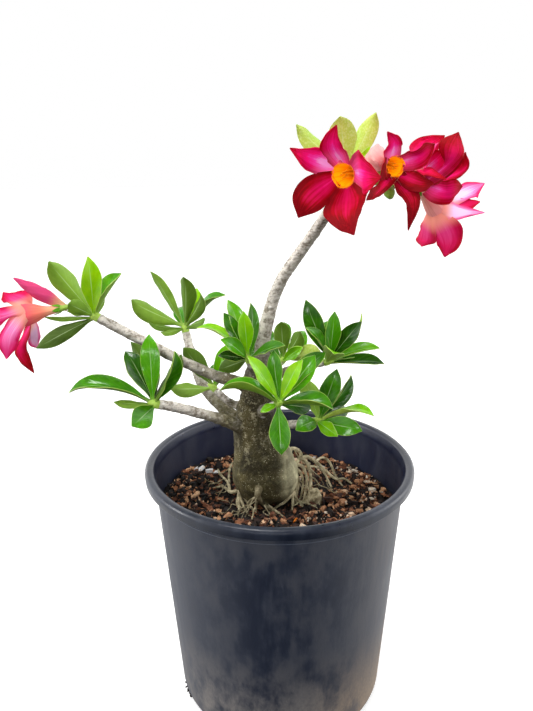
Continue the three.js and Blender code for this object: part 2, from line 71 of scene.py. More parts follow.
def through(points: Sequence[Point], count: int) -> np.ndarray:
    """A smooth line through points.

    Args:
        points: the points or rows of values to pass through.
        count: how many points the line gets, evenly spaced between the first and the last.

    Returns:
        An array of count rows.
    """
    rows = np.asarray(points, float)
    last = len(rows) - 1
    padded = np.vstack([2 * rows[0] - rows[1], rows, 2 * rows[-1] - rows[-2]])
    at = np.linspace(0, last, count)
    k = np.minimum(at.astype(int), last - 1)
    t = (at - k)[:, None]
    a, b, c, d = padded[k], padded[k + 1], padded[k + 2], padded[k + 3]
    return 0.5 * (2 * b + (c - a) * t + (2 * a - 5 * b + 4 * c - d) * t**2 + (3 * b - a - 3 * c + d) * t**3)


def ink(code: str) -> tuple[float, float, float, float]:
    """A colour for a shader, by the usual curve for screens.

    Args:
        code: its screen code, such as "4fae1e".

    Returns:
        Red, green, blue and an alpha of one.
    """
    parts = [int(code[i : i + 2], 16) / 255 for i in (0, 2, 4)]
    linear = [p / 12.92 if p <= 0.04045 else ((p + 0.055) / 1.055) ** 2.4 for p in parts]
    return (*linear, 1.0)


def rough(point: Point, size: float, octaves: int, seed: float) -> float:
    """Smooth noise of about -1 to 1 at a point, with lumps of a size in millimetres."""
    place = Vector((point[0] / size + seed, point[1] / size - seed, point[2] / size + 2 * seed))
    return noise.fractal(place, NOISE_FADE, NOISE_STEP, octaves)


def circle(count: int) -> np.ndarray:
    """The angles of evenly spaced points round a circle."""
    return np.linspace(0, 2 * math.pi, count, endpoint=False)


def level_rings(section: Iterable[Point], sides: int) -> list[np.ndarray]:
    """Level rings of points round the upright axis.

    Args:
        section: each ring's radius and height.
        sides: how many points a ring has.

    Returns:
        The rings.
    """
    turn = circle(sides)
    return [np.stack([np.cos(turn) * r, np.sin(turn) * r, 0 * turn + z], 1) for r, z in section]


def spoke(turn: float, side: np.ndarray, other: np.ndarray) -> np.ndarray:
    """The direction at an angle in the plane of two others."""
    return math.cos(turn) * side + math.sin(turn) * other


def spokes_of(turn: np.ndarray, side: np.ndarray, other: np.ndarray) -> np.ndarray:
    """The directions at many angles in the plane of two others."""
    return np.outer(np.cos(turn), side) + np.outer(np.sin(turn), other)


# The trunk: points of x, y, z and the radius there.
TRUNK = [
    (-11, 0, 148, 8), (-11, 0, 166, 13), (-11, 0, 172, 19), (-11, 0, 178, 24.5), (-11, 0, 187, 27),
    (-13, 0, 202, 25), (-15.5, 0, 212, 22), (-18, 0, 221, 19), (-19.6, 0, 231, 16.5),
    (-18.8, 0, 244, 15), (-17.4, 0, 258, 12.8), (-16.6, 0, 272, 10.8), (-15, 0, 284, 8.2),
    (-12.6, 0, 292, 6.3), (-12, 0, 302, 5.7), (-8, -3, 320, 5.1), (-3, -6, 338, 4.6),
    (5, -12, 356, 4.3), (17.5, -20, 375, 4), (29, -30, 393, 3.8), (39, -37, 410, 3.6),
    (44, -41, 422, 3.6),
]
# Each shoot's branch, as the trunk.
BRANCHES = {
    "left_flowering_shoot": [
        (-17, 0, 262, 7), (-30, -2, 269, 5.4), (-52, -5, 278, 4.3), (-75, -10, 291, 4),
        (-102, -15, 308, 3.8), (-122, -19, 321, 3.6), (-131, -20, 326.5, 3.4),
    ],
    "back_left_shoot": [
        (-20, 4, 226, 8), (-43, 15, 239, 5.2), (-62, 28, 255, 4.6), (-70, 36, 272, 4.2),
        (-75, 42, 286, 3.8), (-78, 45, 299, 3.4),
    ],
    "low_left_shoot": [
        (-20, -3, 228, 7), (-42, -16, 244, 4.6), (-60, -26, 254, 4), (-76, -34, 262, 3.8),
        (-87.5, -39.5, 266.5, 3.6),
    ],
    "twig": [
        (-20, 2, 246, 5), (-38, 5, 250, 3.2), (-50.5, 7.5, 260.5, 2.8),
    ],
    "trunk_shoot": [
        (-17, -1, 274, 5), (-20, -10, 284, 3.2), (-22, -16, 292, 2.8),
    ],
    "front_shoot": [
        (-17, -3, 244, 7), (-8, -20, 255, 3.8), (-1, -34, 264, 3.2),
    ],
    "high_right_shoot": [
        (-16, 2, 258, 6), (4, 8, 275, 3.4), (22, 7, 280, 3), (36, 5, 283.5, 2.8),
    ],
    "low_right_shoot": [
        (-16, 0, 228, 8), (2, -8, 236, 3.8), (16, -12, 239, 3.2), (27, -16.5, 243, 3),
    ],
    "rear_shoot": [
        (-16, 3, 262, 6), (-7, 16, 272, 3.2), (2, 24, 278, 2.8),
    ],
}


@dataclass(frozen=True)
class Leaf:
    """One leaf: where it points, its size and how it is held, in millimetres and degrees.

    Attributes:
        heading: the way that it points, seen from above.
        rise: how steeply it points up.
        length: how long it is.
        width: how wide it is at its widest.
        bend: how far it arches between its foot and its tip.
        tone: its shade, from 0 for dark to 1 for pale: partly the leaf's own colour and partly painted shade,
            darker for leaves that lie in shade.
        roll: how far it is turned about its length. With 0 it shows its upper side to the front
            of the plant, with 180 its underside.
        fold: how far its two halves stand up from flat.
        twist: how far it turns about its length between its foot and its tip.
    """

    heading: float
    rise: float
    length: float
    width: float
    bend: float
    tone: float
    roll: float = 0.0
    fold: float = 18.0
    twist: float = 0.0


# Each shoot's leaves, those nearest its tip first. Their tones are partly the leaves' own colour and partly
# painted shade, dark for leaves in shade.
SHOOT_LEAVES = {
    "left_flowering_shoot": [
        Leaf(198, 56, 49, 18, 25, 0.6, -165, 34), Leaf(285, 68, 47, 16, 25, 0.9, 25, 30, 50),
        Leaf(12, 55, 36, 18, 15, 0.55, -48, 44, 30), Leaf(218, 32, 23, 12, 20, 0.5, 175, 30),
        Leaf(196, -22, 47, 12, 15, 0.15, 170, 12), Leaf(92, 50, 20, 8, 25, 0.5, 180),
        Leaf(188, 4, 36, 5, 0, 0.5, -150, 40),
    ],
    "back_left_shoot": [
        Leaf(190, 27, 49, 19, 20, 0.58, -158, 34), Leaf(165, 60, 53, 12, 10, 0.5, 140, 15),
        Leaf(300, 75, 46, 17, 15, 0.35, 165, 34), Leaf(322, 50, 40, 13, 20, 0.3, 155, 30),
        Leaf(9, 44, 45, 17, 10, 0.45, -80, 35, 80), Leaf(208, 14, 34, 8, 30, 0.4, -140, 20),
        Leaf(235, 3, 30, 7, 10, 0.5, -150, 10), Leaf(317, 24, 30, 9, -15, 0.35, 150, 20),
        Leaf(68, 54, 40, 14, 15, 0.85, 30), Leaf(112, 36, 30, 12, 30, 0.45, 0),
    ],
    "low_left_shoot": [
        Leaf(50, 38, 43, 13, 15, 0.15, 150, 20), Leaf(189, 17, 62, 19, 52, 0.38, 56, 38),
        Leaf(87, 80, 50, 14.5, 10, 0.5, 5, 10), Leaf(129, 59, 48, 17, 20, 0.25, 150, 25),
        Leaf(150, 56, 44, 17, 20, 0.15, 30, 24), Leaf(339, 61, 45, 16, 15, 0.3, 64, 46),
        Leaf(238, -16, 25, 18, 15, 0.42, -30, 20, 50), Leaf(112, 22, 42, 17, 35, 0.25, 20),
        Leaf(200, 10, 31, 7, 10, 0.6, -150, 10),
    ],
    "twig": [
        Leaf(188, 0, 34, 14, 15, 0.55, -150, 15), Leaf(172, 54, 40, 16, 15, 0.3, 165, 18),
        Leaf(50, 66, 36, 12, 10, 0.6, 10, 14), Leaf(30, 50, 31, 12, 15, 0.3, -150, 20),
        Leaf(90, 26, 30, 12, 25, 0.35, 10),
    ],
    "trunk_shoot": [
        Leaf(155, 71, 44, 15, 12, 0.6, 25, 26, 30), Leaf(262, 74, 37, 11.5, 12, 0.78, 5, 16),
        Leaf(196, 63, 38, 12, 15, 0.25, 15, 22), Leaf(175, 38, 45, 14, 40, 0.8, 62, 25),
        # The second leaf here has tone 0: painted shade, as it lies in shade.
        Leaf(233, 37, 32, 13, 25, 0.5, 30, 30), Leaf(212, 14, 24, 9, 20, 0.0, 20, 20),
        Leaf(334, 29, 33, 12, 15, 0.35, -50, 25), Leaf(150, -26, 28, 13, 20, 0.25, 165),
        Leaf(60, 79, 42, 11, 20, 0.35, 40, 25),
    ],
    "front_shoot": [
        Leaf(139, 76, 38, 12, 10, 0.38, -10, 20), Leaf(199, 57, 43, 12, 15, 0.8, 30, 20),
        Leaf(314, 59, 41, 12, 10, 0.84, -25, 16), Leaf(5, 52, 43, 16, 15, 0.48, 5, 16),
        Leaf(22, 43, 51, 18, 25, 0.3, -30, 38), Leaf(342, 4, 40, 20, 20, 0.4, -58, 48),
        Leaf(194, 23, 46, 19, 46, 0.46, 64, 52, 60), Leaf(273, -52, 37, 16, 25, 0.36, 0, 20),
        Leaf(222, -4, 16, 6.5, 15, 0.75, 20, 20), Leaf(15, -12, 26, 12, 20, 0.15, 0),
    ],
    "high_right_shoot": [
        Leaf(197, 64, 54, 15.5, 25, 0.25, -15, 20), Leaf(226, 53, 42, 12, 10, 0.42, 50, 30),
        Leaf(273, 76, 42, 13, 12, 0.45, 0, 25), Leaf(333, 54, 42, 14, 15, 0.1, -15, 20),
        Leaf(15, 48, 46, 9, 10, 0.6, 75, 30), Leaf(347, 21, 42, 14, 25, 0.6, -50, 28),
        Leaf(352, 2, 44, 15, 15, 0.18, -48, 28), Leaf(275, 32, 38, 17, 20, 0.65, 178, 16),
        Leaf(80, 44, 42, 17, 20, 0.4, 0), Leaf(5, 12, 26, 10, 10, 0.5, -55, 20),
    ],
    "low_right_shoot": [
        Leaf(340, 74, 43, 15.5, 15, 0.3, 0, 22), Leaf(15, 48, 42, 16, 15, 0.15, 45, 40),
        Leaf(140, 68, 33, 15, 10, 0.65, 175, 14), Leaf(352, 15, 44, 17, 30, 0.78, -85, 25, 60),
        Leaf(322, 2, 38, 15, 25, 0.4, -12, 16), Leaf(296, -2, 28, 11, 25, 0.75, -10, 24, 40),
        Leaf(237, 8, 28, 15, 25, 0.45, 25, 22), Leaf(62, 30, 39, 15, 25, 0.15, 0),
        Leaf(38, 4, 36, 15, 30, 0.15, -20),
    ],
    "rear_shoot": [
        Leaf(213, 82, 33, 14, 8, 0.4, 175, 14), Leaf(336, 56, 29, 14, 20, 0.38, 160, 24),
        Leaf(23, 44, 30, 14, 20, 0.6, 15, 20), Leaf(345, 18, 34, 15, 30, 0.85, -160, 20),
        Leaf(90, 52, 36, 15, 15, 0.35, 0), Leaf(130, 30, 42, 18, 25, 0.35, 0),
        Leaf(165, 12, 34, 14, 25, 0.3, 0), Leaf(325, 40, 24, 10, 15, 0.7, 0, 24),
    ],
}
# The leaves at the top of the plant, in the same order.
CROWN_LEAVES = [
    Leaf(184, 38, 44, 13, 12, 0.82, -170, 20), Leaf(238, 68, 36, 18, 15, 0.9, 165, 18, 30),
    Leaf(340, 66, 40, 13, 10, 0.9, 170, 18), Leaf(140, 18, 34, 16, 20, 0.7, 150),
    Leaf(80, 36, 34, 14, 15, 0.9, 0), Leaf(60, 24, 42, 18, 30, 0.8, 0),
    Leaf(332, 52, 23, 7, 10, 1.0, 30), Leaf(318, 40, 20, 6, 10, 0.95, 60),
]
# The stem that bears the blooms at the top, as the trunk.
PEDUNCLE = [(46, -42, 427, 2.6), (58, -35, 426, 2.6), (70, -29, 423, 2.4)]
# A stalk whose flower has dropped, as the trunk.
OLD_STALK = [
    (67, -34, 428, 1.5), (69, -42, 420.5, 1.8), (70.8, -49, 415, 3.2), (71.3, -51, 412.8, 3.5),
    (71.8, -53, 410.3, 1.6),
]
# Swellings where branches leave the trunk: x, y, z and radius.
KNOBS = [
    (-25, -3, 228, 9), (-30, 2, 232, 6), (-24, 5, 226, 8), (-8, -5, 231, 7), (-22, 0, 261, 8),
    (-12, 3, 259, 7), (-13, -6, 246, 6.5), (-20, -1, 274, 6), (-48, -17, 246.5, 5), (-62, 27.5, 255, 5),
]
# Bare roots, as the trunk.
ROOTS = [
    [(-15.5, -22, 193, 2.9), (-16, -28, 189, 2.9), (-16.5, -27.5, 183, 2.5), (-13, -24.5, 177, 1.6),
     (-7, -25, 171.5, 1.2), (-1, -27, 167, 0.8)],
    [(-16, -27, 184, 1.5), (-11, -24, 176, 1.2), (-4, -25, 171, 1), (4, -30, 167, 0.7)],
    [(-17, -26, 183, 1.5), (-23, -20, 177, 1.2), (-27, -15, 168, 0.8)],
    [(-17, -26, 183, 1.5), (-18.5, -22, 173, 1.2), (-19, -25, 167, 0.8)],
    [(-31, -7, 188, 1.7), (-32.8, -13, 177, 1.4), (-33.5, -18, 171, 1.1), (-27, -23, 167, 0.8)],
    [(-32.5, -12, 178, 1.3), (-28.5, -20, 171, 1.1), (-23, -28, 167, 0.8)],
    [(-32, -11, 179, 1.2), (-24, -18, 171.5, 1), (-19, -23, 167, 0.8)],
    [(-32.5, -13, 177, 1.1), (-32, -22, 170.5, 0.9), (-33, -32, 167, 0.7)],
    [(12, -1, 189, 1.9), (11, -7, 179, 1.6), (6, -14.5, 173.5, 1.3), (-2, -19, 170, 1), (-8, -23, 167, 0.8)],
    [(11, -6, 180, 1.3), (11, -12, 172, 1.1), (10, -20, 167, 0.8)],
    [(11, -6, 178, 1.2), (14, -10, 173, 1), (20, -15, 167, 0.8)],
    [(-32, -3, 177, 1.7), (-40, -2, 174, 1.4), (-42, 4, 177, 1.2), (-44, 9, 178, 1.1),
     (-51.5, 28, 174.5, 1), (-56, 50, 168, 0.8)],
    [(-42, 6, 176.5, 1.1), (-43, 22, 180, 1), (-40, 31, 184, 1), (-32, 30, 178, 0.9), (-28, 34, 168, 0.8)],
    [(-33, -7, 178, 1.7), (-40, -4, 175, 1.4), (-47.5, 6, 174.5, 1.1), (-57, 12, 169.5, 0.9),
     (-63, 17, 167, 0.7)],
    [(3, 1, 205, 2.1), (8, 4, 208.5, 1.8), (13, 8, 208.5, 1.6), (18, 10, 203.5, 1.5), (17.8, 8, 199.5, 1.5),
     (15, 5.5, 197.5, 1.5), (10, 2, 196, 1.5)],
    [(17, 8, 200, 1.6), (24.5, 14, 197.7, 1.5), (32.5, 22, 188.5, 1.5), (40, 26, 179, 1.3),
     (49, 22, 173, 1.2), (56.5, 26, 171, 1), (63.5, 24.5, 167, 0.8)],
    [(31, 20, 190, 1.2), (36, 31, 188, 1.2), (40.6, 34, 186.5, 1.2), (45, 34, 182, 1.1),
     (47.5, 29, 177, 1.1), (50, 25, 172.5, 1), (55, 20, 167, 0.8)],
    [(24.5, 12, 190, 1), (31, 17, 187, 1), (38, 23, 180, 0.9), (45, 16, 168, 0.8)],
    [(16, 7, 200, 1.7), (21.5, 8, 197.5, 1.6), (25.5, 5.5, 191, 1.5), (26, -0.5, 181, 1.4),
     (23, -8.5, 172, 1.2), (16, -14, 167, 0.9)],
    [(11, 3, 197, 1.7), (18, 4, 195, 1.4), (21, 3, 191.5, 1.3), (23, -0.5, 184, 1.2), (21.5, -4, 175, 1.1),
     (19, -9, 167, 0.8)],
    [(11, 1, 196, 1.6), (18, 2, 189, 1.2), (19.8, -0.6, 179.5, 1.1), (17, -5, 167, 0.8)],
    [(12, 0, 193, 1.5), (16, 1, 184, 1.2), (15, -3, 175, 1.1), (12, -10, 167, 0.8)],
    [(12, -3, 190, 1.4), (13.8, -4.5, 182, 1.2), (13, -6, 174, 1.1), (15, -11, 167, 0.8)],
    [(-18, 18, 190, 3), (-24, 28, 178, 2.3), (-30, 37, 171, 1.6), (-37, 47, 167, 0.9)],
    [(-3, 20, 190, 3), (1, 30, 176, 2.2), (8, 39, 170, 1.5), (16, 47, 166, 0.9)],
]


@dataclass
class Form:
    """A mesh in the making: points in millimetres, faces, and marks that its finish reads."""

    points: np.ndarray
    faces: list[tuple[int, ...]]
    marks: dict[str, np.ndarray] = field(default_factory=dict)

    @staticmethod
    def joined(forms: Iterable["Form"]) -> "Form":
        """One form made of many.

        Args:
            forms: the forms, which all bear the same marks.

        Returns:
            The form.
        """
        forms = list(forms)
        starts = np.cumsum([0] + [len(f.points) for f in forms])
        faces = [tuple(i + s for i in face) for f, s in zip(forms, starts) for face in f.faces]
        marks = {m: np.concatenate([f.marks[m] for f in forms]) for m in forms[0].marks}
        return Form(np.vstack([f.points for f in forms]), faces, marks)

    def marked(self, **values: float) -> "Form":
        """Adds marks that are one value all over.

        Args:
            values: each mark's value.

        Returns:
            The same form.
        """
        for name, value in values.items():
            self.marks[name] = np.full(len(self.points), float(value))
        return self

    def piece(self, name: str, material: Material, crease: float = 50.0) -> bpy.types.Object:
        """Makes the form an object.

        Args:
            name: the piece's name.
            material: its finish.
            crease: edges sharper than this many degrees stay sharp.

        Returns:
            The object, linked to the scene.
        """
        mesh = bpy.data.meshes.new(name)
        mesh.from_pydata((self.points * MM).tolist(), [], self.faces)
        mesh.validate()
        for mark, values in self.marks.items():
            mesh.attributes.new(mark, "FLOAT", "POINT").data.foreach_set("value", values.astype(np.float32))
        mesh.polygons.foreach_set("use_smooth", [True] * len(mesh.polygons))
        mesh.set_sharp_from_angle(angle=math.radians(crease))
        mesh.materials.append(material)
        piece = bpy.data.objects.new(name, mesh)
        bpy.context.scene.collection.objects.link(piece)
        return piece


@dataclass(frozen=True)
class SheetCut:
    """How a leaf or a petal is cut, in millimetres.

    Attributes:
        stations: how many points it has along it.
        columns: how many points it has across it.
        middle: its thickness in the middle.
        edge: its thickness at the edge.
        rib: how far its rib stands out behind.
        groove: how deep it is grooved in front of its rib.
        ruffle: how high its edge waves.
        waves: how many slow waves there are along an edge.
        quick: how many quick waves there are to a slow one.
        low: how high a quick wave is to a slow one.
        apart: how far the waves of the two edges are apart, in radians.
        rib_width: how wide its rib is.
    """

    stations: int
    columns: int
    middle: float
    edge: float
    rib: float
    groove: float
    ruffle: float
    waves: float
    quick: float = 2.3
    low: float = 0.45
    apart: float = 1.9
    rib_width: float = 0.8


def sheet(rails: Sequence[np.ndarray], cut: SheetCut, phase: float, tone: float) -> Form:
    """A thin closed blade between a left and a right edge.

    Args:
        rails: the left edge, the middle line and the right edge, from foot to tip, as seen from
            the front with the tip up.
        cut: the grid, thickness and relief.
        phase: where the edge's waves start, different for each blade.
        tone: the blade's own shade, from 0 to 1.

    Returns:
        The blade, with marks along, across, front and tone.
    """
    left, middle, right = (through(r, cut.stations) for r in rails)
    s = np.sin(np.linspace(-1, 1, cut.columns) * math.pi / 2)
    t = np.linspace(0, 1, cut.stations)
    s3, t2, edge = s[None, :, None], t[:, None], np.sign(s)[None]
    mean = (left + right) / 2 - middle
    grid = middle[:, None] + s3 * ((right - left) / 2)[:, None] + s3**2 * mean[:, None]
    across = np.gradient(grid, axis=1)
    ahead = np.gradient(grid, axis=0)
    normal = unit(np.cross(across, ahead))
    normal[-1] = normal[-2]
    width = np.linalg.norm(right - left, axis=1)[:, None]
    ruffle = cut.ruffle * s[None] ** 4 * np.minimum(1, 5 * t2) * width / width.max()
    wave = np.sin(2 * math.pi * cut.waves * t2 + phase + cut.apart * edge)
    wave += cut.low * np.sin(2 * math.pi * cut.quick * cut.waves * t2 + 2.7 * phase * edge)
    grid = grid + (ruffle * wave)[..., None] * normal
    ridge = np.exp(-((s[None] * width / 2) ** 2) / cut.rib_width) * (1 - 0.6 * t2)
    fade = np.minimum(1, 4 * (1 - t2))
    half = (cut.edge + (cut.middle - cut.edge) * (1 - s[None] ** 4) * (0.35 + 0.65 * fade)) / 2
    front = grid + (half - cut.groove * ridge)[..., None] * normal
    back = grid - (half + cut.rib * ridge)[..., None] * normal
    points = np.concatenate([front.reshape(-1, 3), back.reshape(-1, 3)])
    size, n = cut.stations * cut.columns, cut.columns
    faces: list[tuple[int, ...]] = []
    for i in range(cut.stations - 1):
        for j in range(n - 1):
            a = i * n + j
            faces.append((a, a + 1, a + n + 1, a + n))
            faces.append((size + a + n, size + a + n + 1, size + a + 1, size + a))
        a, b = i * n, i * n + n - 1
        faces.append((a, a + n, size + a + n, size + a))
        faces.append((b + n, b, size + b, size + b + n))
    for j in range(n - 1):
        a, b = j, (cut.stations - 1) * n + j
        faces.append((a + 1, a, size + a, size + a + 1))
        faces.append((b, b + 1, size + b + 1, size + b))
    marks = {
        "along": np.tile(np.repeat(t, n), 2),
        "across": np.tile(s, 2 * cut.stations),
        "front": np.repeat([1.0, 0.0], size),
        "tone": np.full(2 * size, tone),
    }
    return Form(points, faces, marks)


def carried_frame(line: np.ndarray, start: np.ndarray | None = None) -> tuple[np.ndarray, np.ndarray]:
    """Two directions square to a line that turn as little as they can along it.

    Args:
        line: the line's points.
        start: the first direction at its start, or None for any.

    Returns:
        The two directions at each point.
    """
    ahead = unit(np.gradient(line, axis=0))
    first = start if start is not None else np.cross(ahead[0], [0.31, 0.52, 0.79])
    sides = []
    for way in ahead:
        first = first - way * (first @ way)
        first = first / np.linalg.norm(first)
        sides.append(first)
    side = np.array(sides)
    return side, np.cross(ahead, side)


def tube(points: Sequence[Point], sides: int, steps: int, wobble: float = 0.0, seed: float = 0.0) -> Form:
    """A round limb with closed ends.

    Args:
        points: rows of x, y, z and radius.
        sides: how many sides it has.
        steps: how many rings it gets between two rows.
        wobble: how far its radius strays, as a share of it.
        seed: makes this limb's straying its own.

    Returns:
        The limb, with the mark along.
    """
    rows = through(points, steps * (len(points) - 1) + 1)
    line, radius = rows[:, :3], rows[:, 3]
    side, other = carried_frame(line)
    rings = []
    for k, centre in enumerate(line):
        spokes = spokes_of(circle(sides), side[k], other[k])
        swell = np.array([1 + wobble * rough(centre + 3 * v, 4.0, 2, seed) for v in spokes])
        rings.append(centre + spokes * (radius[k] * swell)[:, None])
    return rings_skin(rings).marked(along=0.0)


def rings_skin(rings: Sequence[np.ndarray]) -> Form:
    """A skin over rings of points, with a fan over the first and the last.

    Args:
        rings: the rings, each with as many points.

    Returns:
        The skin, whose last two points are the middles of the fans.
    """
    n, count = len(rings[0]), len(rings)
    points = np.vstack([*rings, rings[0].mean(0), rings[-1].mean(0)])
    faces: list[tuple[int, ...]] = []
    for i in range(count - 1):
        here, beyond = i * n, (i + 1) * n
        faces.extend((here + j, here + (j + 1) % n, beyond + (j + 1) % n, beyond + j) for j in range(n))
    first, last, end = count * n, count * n + 1, (count - 1) * n
    faces.extend(((j + 1) % n, j, first) for j in range(n))
    faces.extend((end + j, end + (j + 1) % n, last) for j in range(n))
    return Form(points, faces)


# A petal's points along a rail, half its width at its foot and its tip, and how deep in the tube
# it starts.
PETAL_STEPS = 13
FOOT_HALF = 5.6
FOOT_DEPTH = 5.0
TIP_HALF = 0.3


@dataclass(frozen=True)
class Petal:
    """One petal, measured in its flower's own frame, as seen from the flower's front.

    Attributes:
        turns: the clock angles of its foot, middle and tip, in degrees from the top.
        reach: how far its middle and its tip are from the flower's axis.
        lift: how far its middle and its tip stand in front of the mouth.
        left: how far its left edge is from its middle line, at one and two thirds of its length.
        right: the same for its right edge.
        wings: by how many degrees its left and its right side stand up.
        tone: its shade, from 0 for deep crimson to 1 for pale pink: partly the petal's own colour and partly
            painted light and shade, deeper on petals in shade and paler on lit ones.
    """

    turns: tuple[float, float, float]
    reach: tuple[float, float]
    lift: tuple[float, float]
    left: tuple[float, float]
    right: tuple[float, float]
    wings: tuple[float, float] = (5.0, 5.0)
    tone: float = 0.5

    def rails(self, mouth: np.ndarray, axis: np.ndarray, rim: float) -> list[np.ndarray]:
        """Its left edge, middle line and right edge, from foot to tip.

        Args:
            mouth: the middle of the flower's mouth.
            axis: the way that the flower faces.
            rim: the tube's radius where the petal starts.

        Returns:
            The three rails.
        """
        up = unit(np.array([0.0, 0.0, 1.0]) - axis * axis[2])
        right = np.cross(up, axis)
        ways = [math.cos(math.radians(a)) * up + math.sin(math.radians(a)) * right for a in self.turns]
        away, ahead = (rim, *self.reach), (-FOOT_DEPTH, *self.lift)
        line = through([mouth + w * r + axis * h for w, r, h in zip(ways, away, ahead)], PETAL_STEPS)
        side, _ = carried_frame(line, np.cross(ways[0], axis))
        front = np.cross(side, unit(np.gradient(line, axis=0)))
        rails, share = [line], np.linspace(0, 1, PETAL_STEPS)[:, None]
        wrap = math.asin(min(1.0, FOOT_HALF / rim)) / 2 * np.maximum(0, 1 - 4 * share)
        for widths, sign, wing in ((self.left, -1, self.wings[0]), (self.right, 1, self.wings[1])):
            half = through([(FOOT_HALF,), *((w,) for w in widths), (TIP_HALF,)], PETAL_STEPS)
            lean = np.radians(wing) * np.minimum(1, 2 * share) + wrap
            rails.append(line + half * (sign * np.cos(lean) * side + np.sin(lean) * front))
        return [rails[1], rails[0], rails[2]]


# Petals of each bloom, clockwise from the top. Their tones are partly painted light and shade.
PETALS = {
    "crown_front_bloom": [
        Petal((-8, 3, 10), (19.2, 29.6), (12, 15), (8.5, 5), (6, 3.5), (10, 0), 0.64),
        Petal((75, 84, 88), (18.8, 29.9), (7, 13.5), (13, 6.5), (12, 8), (0, 12), 0.6),
        Petal((164, 161, 156), (21.6, 33.8), (10, 15), (14.5, 8.5), (14, 8), (10, 20), 0.15),
        Petal((-108, -127, -135), (18, 30.4), (12, 16), (9, 7.5), (11, 9.5), (10, -10), 0.22),
        Petal((-46, -46, -53), (18.3, 30.2), (12, 16), (9, 6), (9, 3.5), (5, 5), 0.76),
    ],
    "crown_middle_bloom": [
        Petal((-25, -25, -35), (15, 24), (6, 12), (7, 3.5), (5.5, 3.5), (5, 10), 0.7),
        Petal((63, 60, 55), (13, 23), (7, 8), (6, 8), (7, 4.5), (45, 20), 0.55),
        Petal((140, 125, 115), (15, 22), (5, 10), (5.5, 3.5), (7, 6), (10, -5), 0.2),
        Petal((165, 157, 170), (22, 38), (7, 8), (6, 3), (6, 4), (15, 5), 0.12),
        Petal((195, 230, 235), (22, 31), (10, 15), (3.5, 2), (3.5, 4), (-10, 30), 0.1),
        Petal((-100, -100, -115), (10, 17), (4, 10), (6.5, 4.5), (6.5, 8), (5, 10), 0.15),
    ],
    "crown_right_bloom": [
        Petal((34, 20, 22), (17, 22), (2, 13), (11.5, 6), (8.5, 5.5), (-50, 55), 0.6),
        Petal((75, 25, 10), (8, 10), (8, 14), (5.5, 5.5), (8, 6.5), (25, 10), 0.6),
        Petal((160, 135, 15), (6, 6), (22, 26), (4, 7), (3.5, 1.5), (70, -50), 0.35),
        Petal((-230, -80, -25), (14, 19), (22, 27), (0.5, 12), (6.5, 6.5), (100, -100), 0.5),
        Petal((-105, -75, -120), (9, 17), (0, 17), (1, 4.5), (2, 4.5), (70, -80), 0.6),
        Petal((-60, -35, -30), (12, 17), (2, 14), (9, 6), (9, 6), (10, 10), 0.7),
        Petal((-210, -170, -205), (15, 15), (12, 19), (5.5, 8), (9, 7.5), (85, -85), 0.55),
    ],
    "crown_low_bloom": [
        Petal((-35, -15, -25), (24, 37), (13, 17), (8, 10), (7, 9), (-15, 5), 0.8),
        Petal((140, 150, 155), (17, 23), (8, 11), (6, 9), (11, 8.5), (0, 20), 0.25),
        Petal((-150, -150, -160), (18, 28), (8, 13), (7, 6), (12, 8.5), (0, 20), 0.25),
        Petal((-88, -75, -70), (14, 27), (5, 14), (6.5, 3), (6.5, 4.5), (-5, 15), 0.9),
        Petal((-55, -45, -48), (16, 26), (8, 14), (5, 5), (5, 5), (0, 0), 0.2),
    ],
    "left_bloom": [
        Petal((5, -45, -45), (17, 23), (6, 13), (11, 3), (8.5, 7.5), (-35, 10), 0.25),
        Petal((50, 75, 70), (20, 32), (8, 18), (6, 8), (2.5, 8.5), (5, 30), 0.42),
        Petal((65, 115, 135), (23, 34), (6, 10), (5.5, 5.5), (7, 9.5), (20, 25), 0.56),
        Petal((210, 175, 175), (25, 43), (7, 1), (4.5, 5.5), (3, 4.5), (-65, 35), 0.4),
        Petal((-130, -140, -145), (29, 38), (1, 1), (3.5, 5), (6, 3), (80, -70), 0.9),
    ],
}


class Wire:
    """A number that varies over a surface: arithmetic on it adds Math nodes."""

    def __init__(self, paint: "Paint", socket: Socket) -> None:
        """Wraps one output socket of a paint's nodes."""
        self.paint = paint
        self.socket = socket

    def _math(self, operation: str, *values: "Wire | float") -> "Wire":
        """One Math node on these values."""
        made = self.paint.node("ShaderNodeMath", {"operation": operation}, dict(enumerate(values)))
        return Wire(self.paint, made.outputs[0])

    def __add__(self, other: "Wire | float") -> "Wire":
        """The sum."""
        return self._math("ADD", self, other)

    __radd__ = __add__

    def __sub__(self, other: "Wire | float") -> "Wire":
        """The difference."""
        return self._math("SUBTRACT", self, other)

    def __rsub__(self, other: float) -> "Wire":
        """A number less this."""
        return self._math("SUBTRACT", other, self)

    def __mul__(self, other: "Wire | float") -> "Wire":
        """The product."""
        return self._math("MULTIPLY", self, other)

    __rmul__ = __mul__

    def __abs__(self) -> "Wire":
        """This without its sign."""
        return self._math("ABSOLUTE", self)

    def sine(self) -> "Wire":
        """The sine of this, in radians."""
        return self._math("SINE", self)

    def step(self, low: float, high: float) -> "Wire":
        """A soft step, either way round.

        Args:
            low: where it is 0.
            high: where it is 1.

        Returns:
            The step.
        """
        settings = {"interpolation_type": "SMOOTHSTEP", "clamp": True}
        inputs = {"Value": self, "From Min": low, "From Max": high, "To Min": 0.0, "To Max": 1.0}
        return Wire(self.paint, self.paint.node("ShaderNodeMapRange", settings, inputs).outputs["Result"])


